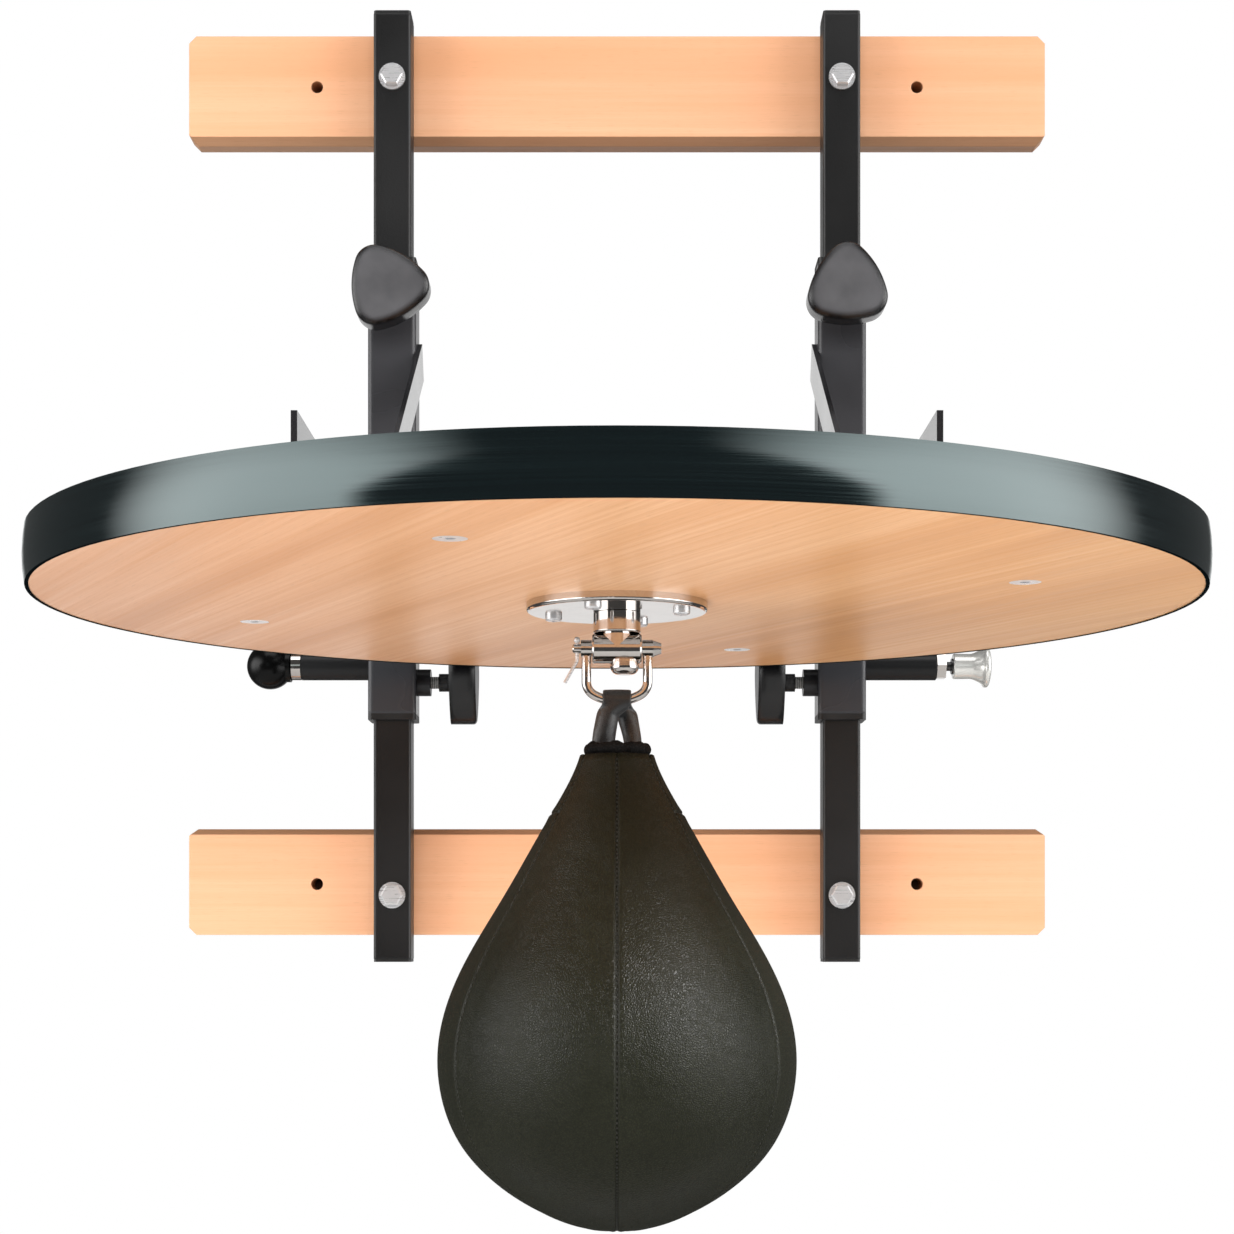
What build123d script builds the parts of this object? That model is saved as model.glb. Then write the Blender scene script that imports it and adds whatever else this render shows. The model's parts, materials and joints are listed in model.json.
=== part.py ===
"""Speed bag platform: a height-adjustable round board on two wall rails, with a swivel and a speed bag.

Millimetres. Origin on the wall plane, midway between the four wall-mounting holes.
+X to the right seen from the front, +Y into the wall, +Z up, so the board stands out towards -Y.
"""

import os
from math import asin, atan2, cos, degrees, hypot, pi, radians, sin

from build123d import *

# Wall planks
PLANK_LENGTH = 580.0
PLANK_HEIGHT = 72.0
PLANK_THICKNESS = 20.0
PLANK_Z = 268.5
PLANK_CLIP = 5.0
BEVEL_HEIGHT = 4.0
BEVEL_DEPTH = 8.0
WALL_HOLE_X = 203.2
WALL_HOLE_Z = 270.0
WALL_HOLE_R = 4.0

# Rails: 25 mm square steel tube standing on the planks
RAIL_X = 150.0
RAIL_SIZE = 25.0
RAIL_WALL = 2.0
RAIL_CORNER = 2.0
RAIL_TOP = 310.5
RAIL_BOTTOM = -320.5
RAIL_Y = -(PLANK_THICKNESS + RAIL_SIZE / 2)
RAIL_FRONT = RAIL_Y - RAIL_SIZE / 2
CAP_PLATE = 2.0
CAP_PLUG = 10.0
RAIL_BOLT_Z = (268.0, -278.0)
RAIL_BOLT_R = 4.0
RAIL_BOLT_HOLE_R = 4.25
NUT_RECESS_R = 10.5
NUT_RECESS_DEPTH = 8.0

# Sleeves that slide on the rails
SLEEVE_SIZE = 32.0
SLEEVE_WALL = 1.5
SLEEVE_CORNER = 3.0
SLEEVE_TOP = 143.0
SLEEVE_BOTTOM = -157.0
SLEEVE_FRONT = RAIL_Y - SLEEVE_SIZE / 2
SLEEVE_INNER_X = RAIL_X - SLEEVE_SIZE / 2
SLEEVE_OUTER_X = RAIL_X + SLEEVE_SIZE / 2
BUSHING_DEPTH = 15.0
BUSHING_LIP = 4.0
BUSHING_CLEARANCE = 0.1

# Height lock: a spring pin in a row of rail holes one inch apart
PIN_Z = -124.0
PIN_PITCH = 25.4
PIN_STEPS = range(-2, 4)
PIN_HOLE_R = 4.5
PIN_NOSE_R = 4.0
PIN_ROD_R = 3.0
PIN_REST_GAP = 0.3
PIN_STROKE_IN = 4.0
BARREL_R = 9.3
BARREL_BORE_R = 6.5
GUIDE_LENGTH = 6.0
RUNNING = 0.05

# Clamp screws that take the play out of the sleeves
FRONT_CLAMP_Z = 118.0
SIDE_CLAMP_Z = -135.0
BOSS_R = 9.0
BOSS_LENGTH = 9.0
STUD_R = 4.0
STUD_GAP = 5.5
HUB_R = 6.0
HUB_LENGTH = 8.0
LOBE_R = 13.0
LOBE_OFFSET = 15.0
SIDE_R = 22.5
KNOB_THICKNESS = 17.5
STUD_SEAT = 18.0

# Round board, two plies with an edge band
DISC_Y = -370.0
BOARD_R = 302.0
PLY = 14.0
BOARD_BOTTOM = -129.0
BOARD_MIDDLE = BOARD_BOTTOM + PLY
BOARD_TOP = BOARD_MIDDLE + PLY
BAND_OVERHANG = 0.3
BAND_THICKNESS = 2.0
BAND_BULGE = 1.2
POCKET_R = 17.0
POCKET_TOP = -111.0
BOARD_SCREW_CIRCLE_R = 216.0
HARDWARE_ANGLE = 70.0
BOARD_SCREW_HEAD_R = 8.0
BOARD_SCREW_R = 2.5
BOARD_SCREW_TOP = -105.0

# Angle-iron arms and flat braces
ANGLE_SIZE = 38.0
ANGLE_THICKNESS = 3.0
ARM_OUTER_X = 150.0
ARM_FRONT = -532.0
ARM_BOLT_X = 127.0
ARM_BOLT_Y = (DISC_Y - 148.0, DISC_Y + 148.0)
ARM_BOLT_R = 4.0
ARM_BOLT_BOTTOM = -124.0
ARM_HEAD_APOTHEM = 6.5
ARM_HEAD_HEIGHT = 5.5
WASHER_R = 8.5
WASHER_THICKNESS = 1.5
BRACE_WIDTH = 25.0
BRACE_THICKNESS = 3.0
BRACE_TOP = (-36.0, 76.0)
BRACE_FOOT_Y = -345.0

# Swivel
PLATE_R = 48.0
PLATE_BOTTOM = -134.0
PLATE_SCREW_CIRCLE_R = 36.0
PLATE_SCREW_HEAD_R = 4.5
PLATE_SCREW_R = 2.2
BUSH_R = 8.0
SPINDLE_R = 5.0
FLANGE_R = 13.0
FLANGE_TOP = -127.0
BALL_R = 1.73
BALL_CIRCLE_R = 9.5
BALL_Z = -125.25
THRUST_BOTTOM = -123.5
THRUST_TOP = -121.5
SPINDLE_NUT_TOP = -113.5
SPINDLE_TOP = -112.0
SPINDLE_BOTTOM = -148.8
COLLAR_R = 12.5
COLLAR_TOP = -134.2
COLLAR_BOTTOM = -145.0
NECK_R = 8.0
NECK_TOP = -141.0
PIVOT_Z = -153.0
PIVOT_BARREL_R = 8.0
PIVOT_HALF_LENGTH = 13.0
PIVOT_BUSH_R = 4.0
CLEVIS_PIN_R = 2.5
PLUG_X = 4.0
PLUG_R = 7.6
PLUG_DEPTH = 13.8

# Shackle
WIRE_R = 2.5
LEG_X = 16.2
BOW_R = 25.0
BOW_Z = -155.6
BOW_CORNER_R = 8.0
EYE_R = 4.6
EYE_INNER = 13.3
EYE_OUTER = 19.0
COTTER_X = -21.1

# Speed bag
LOOP_INNER = 3.0
LOOP_THICKNESS = 2.0
LOOP_ARC = 16.0
LOOP_TOP_WIDTH = 14.0
LOOP_FOOT_WIDTH = 21.0
BAG_COLLAR_TOP = -203.5
BAG_COLLAR_R = 18.2
BAG_TOP = -209.5
BAG_LENGTH = 251.0
BAG_PROFILE = ((34.4, 30), (60.8, 76), (84.6, 118), (94.6, 155), (82.0, 206), (63.4, 226), (39.6, 241))
BAG_TOP_R = 19.6
COVER_THICKNESS = 2.2
BLADDER_INSET = 2.6
BLADDER_THICKNESS = 1.2
VALVE_R = 4.5

disc_axis = Axis((0, DISC_Y, 0), (0, 0, 1))
swivel_front = Plane(origin=(0, DISC_Y, 0), x_dir=(1, 0, 0), z_dir=(0, -1, 0))
pivot_side = Plane(origin=(0, DISC_Y, PIVOT_Z), x_dir=(0, 1, 0), z_dir=(1, 0, 0))


def level(z):
    return Plane.XY.offset(z)


def at_board_centre(z):
    return Plane(origin=(0, DISC_Y, z))


def mirrored(part):
    return mirror(part, about=Plane.YZ)


# ---------------------------------------------------------------- wall frame
def wall_plank(centre_z, bolt_z, bevel_side):
    """One plank. bevel_side is +1 where the bevelled edge is the top one, -1 where it is the bottom one."""
    inner_z = centre_z + bevel_side * PLANK_HEIGHT / 2
    with BuildPart() as plank:
        with BuildSketch(Plane.XZ) as face:
            with Locations((0, centre_z)):
                Rectangle(PLANK_LENGTH, PLANK_HEIGHT)
            chamfer(face.vertices(), PLANK_CLIP)
        extrude(amount=PLANK_THICKNESS)
        with BuildSketch(Plane.YZ):
            with BuildLine():
                Polyline(
                    (-PLANK_THICKNESS, inner_z - bevel_side * BEVEL_HEIGHT),
                    (-PLANK_THICKNESS + BEVEL_DEPTH, inner_z),
                    (-PLANK_THICKNESS, inner_z),
                    close=True,
                )
            make_face()
        extrude(amount=PLANK_LENGTH, both=True, mode=Mode.SUBTRACT)
        with BuildSketch(Plane.XZ):
            with Locations((0, -bevel_side * WALL_HOLE_Z)):
                with GridLocations(2 * WALL_HOLE_X, 0, 2, 1):
                    Circle(WALL_HOLE_R)
            with Locations((-RAIL_X, bolt_z), (RAIL_X, bolt_z)):
                Circle(RAIL_BOLT_HOLE_R)
        extrude(amount=PLANK_THICKNESS, mode=Mode.SUBTRACT)
        with BuildSketch(Plane.XZ):
            with Locations((-RAIL_X, bolt_z), (RAIL_X, bolt_z)):
                Circle(NUT_RECESS_R)
        extrude(amount=NUT_RECESS_DEPTH, mode=Mode.SUBTRACT)
    return plank.part


upper_plank = wall_plank(PLANK_Z, RAIL_BOLT_Z[0], -1)
lower_plank = wall_plank(-PLANK_Z, RAIL_BOLT_Z[1], 1)

with BuildPart() as rail:
    with BuildSketch(level(RAIL_BOTTOM)):
        with Locations((RAIL_X, RAIL_Y)):
            RectangleRounded(RAIL_SIZE, RAIL_SIZE, RAIL_CORNER)
            RectangleRounded(
                RAIL_SIZE - 2 * RAIL_WALL, RAIL_SIZE - 2 * RAIL_WALL, RAIL_CORNER / 4, mode=Mode.SUBTRACT
            )
    extrude(amount=RAIL_TOP - RAIL_BOTTOM)
    with BuildSketch(Plane.XZ):
        with Locations(*[(RAIL_X, z) for z in RAIL_BOLT_Z]):
            Circle(RAIL_BOLT_HOLE_R)
    extrude(amount=-RAIL_FRONT, mode=Mode.SUBTRACT)
    with BuildSketch(Plane.YZ.offset(RAIL_X)):
        with Locations(*[(RAIL_Y, PIN_Z + PIN_PITCH * k) for k in PIN_STEPS]):
            Circle(PIN_HOLE_R)
    extrude(amount=RAIL_SIZE, mode=Mode.SUBTRACT)
right_rail = rail.part
left_rail = mirrored(right_rail)

with BuildPart() as rail_end_caps:
    for end, outward in ((RAIL_TOP, 1), (RAIL_BOTTOM, -1)):
        for x in (-RAIL_X, RAIL_X):
            with BuildSketch(level(end)):
                with Locations((x, RAIL_Y)):
                    RectangleRounded(RAIL_SIZE - 0.4, RAIL_SIZE - 0.4, RAIL_CORNER)
            extrude(amount=outward * CAP_PLATE)
            with BuildSketch(level(end)):
                with Locations((x, RAIL_Y)):
                    RectangleRounded(
                        RAIL_SIZE - 2 * RAIL_WALL - 0.2, RAIL_SIZE - 2 * RAIL_WALL - 0.2, RAIL_CORNER / 4
                    )
            extrude(amount=-outward * CAP_PLUG)

with BuildPart() as rail_bolts:
    for x in (-RAIL_X, RAIL_X):
        for z in RAIL_BOLT_Z:
            with BuildSketch(Plane.XZ.offset(0.8)):
                with Locations((x, z)):
                    Circle(RAIL_BOLT_R)
            extrude(amount=-RAIL_FRONT - 0.8)
            with BuildSketch(Plane.XZ.offset(-RAIL_FRONT)):
                with Locations((x, z)):
                    Circle(8.8)
            extrude(amount=1.6)
            with BuildSketch(Plane.XZ.offset(-RAIL_FRONT + 1.6)):
                with Locations((x, z)):
                    RegularPolygon(6.5, 6, major_radius=False)
            extrude(amount=4.6)
    heads = rail_bolts.faces().filter_by(Axis.Y).group_by(Axis.Y)[0]
    chamfer(heads.edges(), 0.9)

with BuildPart() as rail_nuts:
    for x in (-RAIL_X, RAIL_X):
        for z in RAIL_BOLT_Z:
            with BuildSketch(Plane.XZ.offset(1.0)):
                with Locations((x, z)):
                    RegularPolygon(6.5, 6, major_radius=False)
                    Circle(RAIL_BOLT_R, mode=Mode.SUBTRACT)
            extrude(amount=5.4)
            with BuildSketch(Plane.XZ.offset(6.4)):
                with Locations((x, z)):
                    Circle(8.9)
                    Circle(RAIL_BOLT_R, mode=Mode.SUBTRACT)
            extrude(amount=1.6)

# ---------------------------------------------------------------- carriage
with BuildPart() as sleeve:
    with BuildSketch(level(SLEEVE_BOTTOM)):
        with Locations((RAIL_X, RAIL_Y)):
            RectangleRounded(SLEEVE_SIZE, SLEEVE_SIZE, SLEEVE_CORNER)
            RectangleRounded(
                SLEEVE_SIZE - 2 * SLEEVE_WALL,
                SLEEVE_SIZE - 2 * SLEEVE_WALL,
                SLEEVE_CORNER - SLEEVE_WALL,
                mode=Mode.SUBTRACT,
            )
    extrude(amount=SLEEVE_TOP - SLEEVE_BOTTOM)
    with BuildSketch(Plane.XZ.offset(-RAIL_FRONT)):
        with Locations((RAIL_X, FRONT_CLAMP_Z)):
            Circle(STUD_R + RUNNING)
    extrude(amount=SLEEVE_SIZE / 4, mode=Mode.SUBTRACT)
    with BuildSketch(Plane.YZ.offset(SLEEVE_INNER_X)):
        with Locations((RAIL_Y, SIDE_CLAMP_Z)):
            Circle(STUD_R + RUNNING)
    extrude(amount=SLEEVE_SIZE / 4, mode=Mode.SUBTRACT)
    with BuildSketch(Plane.YZ.offset(RAIL_X)):
        with Locations((RAIL_Y, PIN_Z)):
            Circle(PIN_NOSE_R + RUNNING)
    extrude(amount=SLEEVE_SIZE, mode=Mode.SUBTRACT)
right_sleeve = sleeve.part
left_sleeve = mirrored(right_sleeve)

with BuildPart() as sleeve_bushings:
    for end, outward in ((SLEEVE_TOP, 1), (SLEEVE_BOTTOM, -1)):
        for x in (-RAIL_X, RAIL_X):
            with BuildSketch(level(end)):
                with Locations((x, RAIL_Y)):
                    RectangleRounded(SLEEVE_SIZE, SLEEVE_SIZE, SLEEVE_CORNER)
            extrude(amount=outward * BUSHING_LIP)
            with BuildSketch(level(end)):
                with Locations((x, RAIL_Y)):
                    RectangleRounded(
                        SLEEVE_SIZE - 2 * SLEEVE_WALL - 0.1,
                        SLEEVE_SIZE - 2 * SLEEVE_WALL - 0.1,
                        SLEEVE_CORNER - SLEEVE_WALL,
                    )
            extrude(amount=-outward * BUSHING_DEPTH)
    with BuildSketch(level(SLEEVE_BOTTOM - SLEEVE_SIZE)):
        with Locations((-RAIL_X, RAIL_Y), (RAIL_X, RAIL_Y)):
            RectangleRounded(
                RAIL_SIZE + 2 * BUSHING_CLEARANCE,
                RAIL_SIZE + 2 * BUSHING_CLEARANCE,
                RAIL_CORNER + BUSHING_CLEARANCE,
            )
    extrude(amount=SLEEVE_TOP - SLEEVE_BOTTOM + 2 * SLEEVE_SIZE, mode=Mode.SUBTRACT)

with BuildPart() as clamp_bosses:
    with BuildSketch(Plane.XZ.offset(-SLEEVE_FRONT)):
        with Locations((-RAIL_X, FRONT_CLAMP_Z), (RAIL_X, FRONT_CLAMP_Z)):
            Circle(BOSS_R)
            Circle(STUD_R + RUNNING, mode=Mode.SUBTRACT)
    extrude(amount=BOSS_LENGTH)
    for x in (SLEEVE_INNER_X - BOSS_LENGTH, -SLEEVE_INNER_X):
        with BuildSketch(Plane.YZ.offset(x)):
            with Locations((RAIL_Y, SIDE_CLAMP_Z)):
                Circle(BOSS_R)
                Circle(STUD_R + RUNNING, mode=Mode.SUBTRACT)
        extrude(amount=BOSS_LENGTH)

with BuildPart() as arm:
    with BuildSketch(Plane.XZ.offset(-SLEEVE_FRONT)):
        with BuildLine():
            Polyline(
                (ARM_OUTER_X, BOARD_TOP),
                (ARM_OUTER_X, BOARD_TOP + ANGLE_SIZE),
                (ARM_OUTER_X - ANGLE_THICKNESS, BOARD_TOP + ANGLE_SIZE),
                (ARM_OUTER_X - ANGLE_THICKNESS, BOARD_TOP + ANGLE_THICKNESS),
                (ARM_OUTER_X - ANGLE_SIZE, BOARD_TOP + ANGLE_THICKNESS),
                (ARM_OUTER_X - ANGLE_SIZE, BOARD_TOP),
                close=True,
            )
        make_face()
    extrude(amount=SLEEVE_FRONT - ARM_FRONT)
    with BuildSketch(level(BOARD_TOP)):
        with Locations(*[(ARM_BOLT_X, y) for y in ARM_BOLT_Y]):
            Circle(ARM_BOLT_R + 0.5)
    extrude(amount=ANGLE_THICKNESS, mode=Mode.SUBTRACT)
right_arm = arm.part
left_arm = mirrored(right_arm)

foot_z = BOARD_TOP + ANGLE_THICKNESS
brace_run = BRACE_FOOT_Y - BRACE_TOP[0]
brace_drop = foot_z - BRACE_TOP[1]
brace_length = hypot(brace_run, brace_drop)
brace_turn = degrees(atan2(brace_drop, brace_run))
with BuildPart() as brace:
    with BuildSketch(Plane.YZ.offset(SLEEVE_INNER_X - BRACE_THICKNESS)):
        with Locations((BRACE_TOP[0] + brace_run / 2, BRACE_TOP[1] + brace_drop / 2)):
            Rectangle(brace_length + BRACE_WIDTH, BRACE_WIDTH, rotation=brace_turn)
        with Locations((BRACE_FOOT_Y, foot_z - BRACE_WIDTH)):
            Rectangle(4 * BRACE_WIDTH, 2 * BRACE_WIDTH, mode=Mode.SUBTRACT)
        with Locations((BRACE_WIDTH - 18, BRACE_TOP[1])):
            Rectangle(2 * BRACE_WIDTH, 4 * BRACE_WIDTH, mode=Mode.SUBTRACT)
    extrude(amount=BRACE_THICKNESS)
right_brace = brace.part
left_brace = mirrored(right_brace)

hardware_spots = [
    (cos(radians(HARDWARE_ANGLE + 90 * k)), DISC_Y, sin(radians(HARDWARE_ANGLE + 90 * k))) for k in range(4)
]
board_screw_spots = [
    (c * BOARD_SCREW_CIRCLE_R, y + s * BOARD_SCREW_CIRCLE_R) for c, y, s in hardware_spots
]
plate_screw_spots = [
    (c * PLATE_SCREW_CIRCLE_R, y + s * PLATE_SCREW_CIRCLE_R) for c, y, s in hardware_spots
]
arm_bolt_spots = [(x, y) for x in (-ARM_BOLT_X, ARM_BOLT_X) for y in ARM_BOLT_Y]


def board_ply(bottom):
    """One ply, drilled for the arm bolts, board screws and plate screws, with the swivel pocket."""
    with BuildPart() as ply:
        with BuildSketch(at_board_centre(bottom)):
            Circle(BOARD_R)
        extrude(amount=PLY)
        with BuildSketch(at_board_centre(BOARD_BOTTOM)):
            Circle(POCKET_R)
        extrude(amount=POCKET_TOP - BOARD_BOTTOM, mode=Mode.SUBTRACT)
        with BuildSketch(level(ARM_BOLT_BOTTOM)):
            with Locations(*arm_bolt_spots):
                Circle(ARM_BOLT_R)
        extrude(amount=BOARD_TOP - ARM_BOLT_BOTTOM, mode=Mode.SUBTRACT)
        with BuildSketch(level(BOARD_BOTTOM)):
            with Locations(*board_screw_spots):
                Circle(BOARD_SCREW_R)
        extrude(amount=BOARD_SCREW_TOP - BOARD_BOTTOM, mode=Mode.SUBTRACT)
        with BuildSketch(level(BOARD_BOTTOM)):
            with Locations(*plate_screw_spots):
                Circle(PLATE_SCREW_R)
        extrude(amount=PLY, mode=Mode.SUBTRACT)
        for x, y in board_screw_spots:
            with BuildSketch(Plane(origin=(x, y, 0), x_dir=(1, 0, 0), z_dir=(0, -1, 0))):
                with BuildLine():
                    Polyline(
                        (0, BOARD_BOTTOM),
                        (BOARD_SCREW_HEAD_R, BOARD_BOTTOM),
                        (BOARD_SCREW_HEAD_R, BOARD_BOTTOM + 0.6),
                        (BOARD_SCREW_R, BOARD_BOTTOM + 6.1),
                        (0, BOARD_BOTTOM + 6.1),
                        close=True,
                    )
                make_face()
            revolve(axis=Axis((x, y, 0), (0, 0, 1)), mode=Mode.SUBTRACT)
    return ply.part


platform_board_lower = board_ply(BOARD_BOTTOM)
platform_board_upper = board_ply(BOARD_MIDDLE)

with BuildPart() as edge_band:
    with BuildSketch(swivel_front):
        with BuildLine():
            Polyline(
                (BOARD_R + BAND_THICKNESS, BOARD_BOTTOM - BAND_OVERHANG),
                (BOARD_R, BOARD_BOTTOM - BAND_OVERHANG),
                (BOARD_R, BOARD_TOP + BAND_OVERHANG),
                (BOARD_R + BAND_THICKNESS, BOARD_TOP + BAND_OVERHANG),
            )
            ThreePointArc(
                (BOARD_R + BAND_THICKNESS, BOARD_TOP + BAND_OVERHANG),
                (BOARD_R + BAND_THICKNESS + BAND_BULGE, BOARD_MIDDLE),
                (BOARD_R + BAND_THICKNESS, BOARD_BOTTOM - BAND_OVERHANG),
            )
        make_face()
    revolve(axis=disc_axis)

with BuildPart() as board_screws:
    for x, y in board_screw_spots:
        with BuildSketch(Plane(origin=(x, y, 0), x_dir=(1, 0, 0), z_dir=(0, -1, 0))):
            with BuildLine():
                Polyline(
                    (0, BOARD_BOTTOM),
                    (BOARD_SCREW_HEAD_R, BOARD_BOTTOM),
                    (BOARD_SCREW_HEAD_R, BOARD_BOTTOM + 0.6),
                    (BOARD_SCREW_R, BOARD_BOTTOM + 6.1),
                    (BOARD_SCREW_R, BOARD_SCREW_TOP),
                    (0, BOARD_SCREW_TOP),
                    close=True,
                )
            make_face()
        revolve(axis=Axis((x, y, 0), (0, 0, 1)))
    with BuildSketch(level(BOARD_BOTTOM)):
        with Locations(*board_screw_spots):
            RegularPolygon(2.5, 6, major_radius=False)
    extrude(amount=2.6, mode=Mode.SUBTRACT)

washer_bottom = BOARD_TOP + ANGLE_THICKNESS
head_bottom = washer_bottom + WASHER_THICKNESS
with BuildPart() as arm_bolts:
    with BuildSketch(level(ARM_BOLT_BOTTOM)):
        with Locations(*arm_bolt_spots):
            Circle(ARM_BOLT_R)
    extrude(amount=head_bottom - ARM_BOLT_BOTTOM)
    with BuildSketch(level(head_bottom)):
        with Locations(*arm_bolt_spots):
            RegularPolygon(ARM_HEAD_APOTHEM, 6, major_radius=False)
    extrude(amount=ARM_HEAD_HEIGHT)
    chamfer(arm_bolts.faces().sort_by(Axis.Z)[-4:].edges(), 0.8)

with BuildPart() as arm_washers:
    with BuildSketch(level(washer_bottom)):
        with Locations(*arm_bolt_spots):
            Circle(WASHER_R)
            Circle(ARM_BOLT_R + 0.2, mode=Mode.SUBTRACT)
    extrude(amount=WASHER_THICKNESS)


# ---------------------------------------------------------------- height-lock pins
# Drawn on the right-hand side. The left-hand ones are mirrored.
def pin_profile(points, name):
    """A body of revolution about the pin axis, from (distance from the centre plane, radius) points."""
    with BuildPart() as turned:
        with BuildSketch(Plane(origin=(0, RAIL_Y, PIN_Z), x_dir=(1, 0, 0), z_dir=(0, -1, 0))):
            with BuildLine():
                Polyline(*points, close=True)
            make_face()
        revolve(axis=Axis((0, RAIL_Y, PIN_Z), (1, 0, 0)))
    turned.part.label = name
    return turned.part


LEFT_BARREL_END = 212.0
LEFT_COLLAR_END = 218.7
RIGHT_BARREL_END = 214.5
RIGHT_NUT_END = 220.5
SPIGOT = 5.0
nose_tip = RAIL_X + RAIL_SIZE / 2 + PIN_REST_GAP
plunger_flange = SLEEVE_OUTER_X + GUIDE_LENGTH + PIN_STROKE_IN + 2
guide_end = SLEEVE_OUTER_X + GUIDE_LENGTH


def pin_barrel(end, name):
    return pin_profile(
        [
            (SLEEVE_OUTER_X, PIN_NOSE_R + RUNNING),
            (SLEEVE_OUTER_X, BARREL_R),
            (end - 0.6, BARREL_R),
            (end, BARREL_R - 0.6),
            (end, BARREL_BORE_R),
            (guide_end, BARREL_BORE_R),
            (guide_end, PIN_NOSE_R + RUNNING),
        ],
        name,
    )


def pin_plunger(end, name):
    return pin_profile(
        [
            (nose_tip, 0),
            (nose_tip, PIN_NOSE_R - 1),
            (nose_tip + 1, PIN_NOSE_R),
            (plunger_flange, PIN_NOSE_R),
            (plunger_flange, BARREL_BORE_R - 0.2),
            (plunger_flange + 2, BARREL_BORE_R - 0.2),
            (plunger_flange + 2, PIN_ROD_R),
            (end, PIN_ROD_R),
            (end, 0),
        ],
        name,
    )


def pin_spring(end, name):
    start = plunger_flange + 2 + 0.7
    height = end - SPIGOT - 0.7 - start
    with BuildPart() as spring:
        with BuildLine() as coil:
            Helix(
                pitch=height / 7,
                height=height,
                radius=4.9,
                center=(start, RAIL_Y, PIN_Z),
                direction=(1, 0, 0),
            )
        with BuildSketch(Plane(origin=coil.line @ 0, z_dir=coil.line % 0)):
            Circle(0.6)
        sweep(path=coil.line, is_frenet=True)
    spring.part.label = name
    return spring.part


left_pin_barrel = mirrored(pin_barrel(LEFT_BARREL_END, "barrel"))
right_pin_barrel = pin_barrel(RIGHT_BARREL_END, "barrel")

left_pin_collar = mirrored(
    pin_profile(
        [
            (LEFT_BARREL_END - SPIGOT, PIN_ROD_R + RUNNING),
            (LEFT_BARREL_END - SPIGOT, BARREL_BORE_R),
            (LEFT_BARREL_END, BARREL_BORE_R),
            (LEFT_BARREL_END, BARREL_R),
            (LEFT_COLLAR_END - 0.5, BARREL_R),
            (LEFT_COLLAR_END, BARREL_R - 0.5),
            (LEFT_COLLAR_END, PIN_ROD_R + RUNNING),
        ],
        "collar",
    )
)

with BuildPart() as right_pin_nut:
    with BuildSketch(Plane.YZ.offset(RIGHT_BARREL_END - SPIGOT)):
        with Locations((RAIL_Y, PIN_Z)):
            Circle(BARREL_BORE_R)
    extrude(amount=SPIGOT)
    with BuildSketch(Plane.YZ.offset(RIGHT_BARREL_END)):
        with Locations((RAIL_Y, PIN_Z)):
            RegularPolygon(BARREL_R, 6)
    extrude(amount=RIGHT_NUT_END - RIGHT_BARREL_END)
    with BuildSketch(Plane.YZ.offset(RIGHT_BARREL_END - SPIGOT)):
        with Locations((RAIL_Y, PIN_Z)):
            Circle(PIN_ROD_R + RUNNING)
    extrude(amount=BARREL_R + SPIGOT, mode=Mode.SUBTRACT)

LEFT_ROD_END = 236.0
RIGHT_ROD_END = 243.0
left_pin_plunger = mirrored(pin_plunger(LEFT_ROD_END, "plunger"))
right_pin_plunger = pin_plunger(RIGHT_ROD_END, "plunger")
left_pin_spring = mirrored(pin_spring(LEFT_BARREL_END, "spring"))
right_pin_spring = pin_spring(RIGHT_BARREL_END, "spring")

BALL_KNOB_R = 15.4
BALL_MOUTH_R = 10.6
BALL_RECESS_R = 9.6
ball_mouth = LEFT_COLLAR_END + PIN_REST_GAP
ball_centre = ball_mouth + 3.0 + (BALL_KNOB_R**2 - BALL_MOUTH_R**2) ** 0.5
with BuildPart() as ball_knob:
    with BuildSketch(Plane(origin=(0, RAIL_Y, PIN_Z), x_dir=(1, 0, 0), z_dir=(0, -1, 0))):
        with BuildLine():
            neck = Polyline(
                (LEFT_ROD_END, 0),
                (LEFT_ROD_END, PIN_ROD_R),
                (ball_mouth + 5, PIN_ROD_R),
                (ball_mouth + 5, BALL_RECESS_R),
                (ball_mouth, BALL_RECESS_R),
                (ball_mouth, BALL_MOUTH_R),
                (ball_mouth + 3, BALL_MOUTH_R),
            )
            ThreePointArc(neck @ 1, (ball_centre, BALL_KNOB_R), (ball_centre + BALL_KNOB_R, 0))
            Line((ball_centre + BALL_KNOB_R, 0), (LEFT_ROD_END, 0))
        make_face()
    revolve(axis=Axis((0, RAIL_Y, PIN_Z), (1, 0, 0)))
left_ball_knob = mirrored(ball_knob.part)

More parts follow.
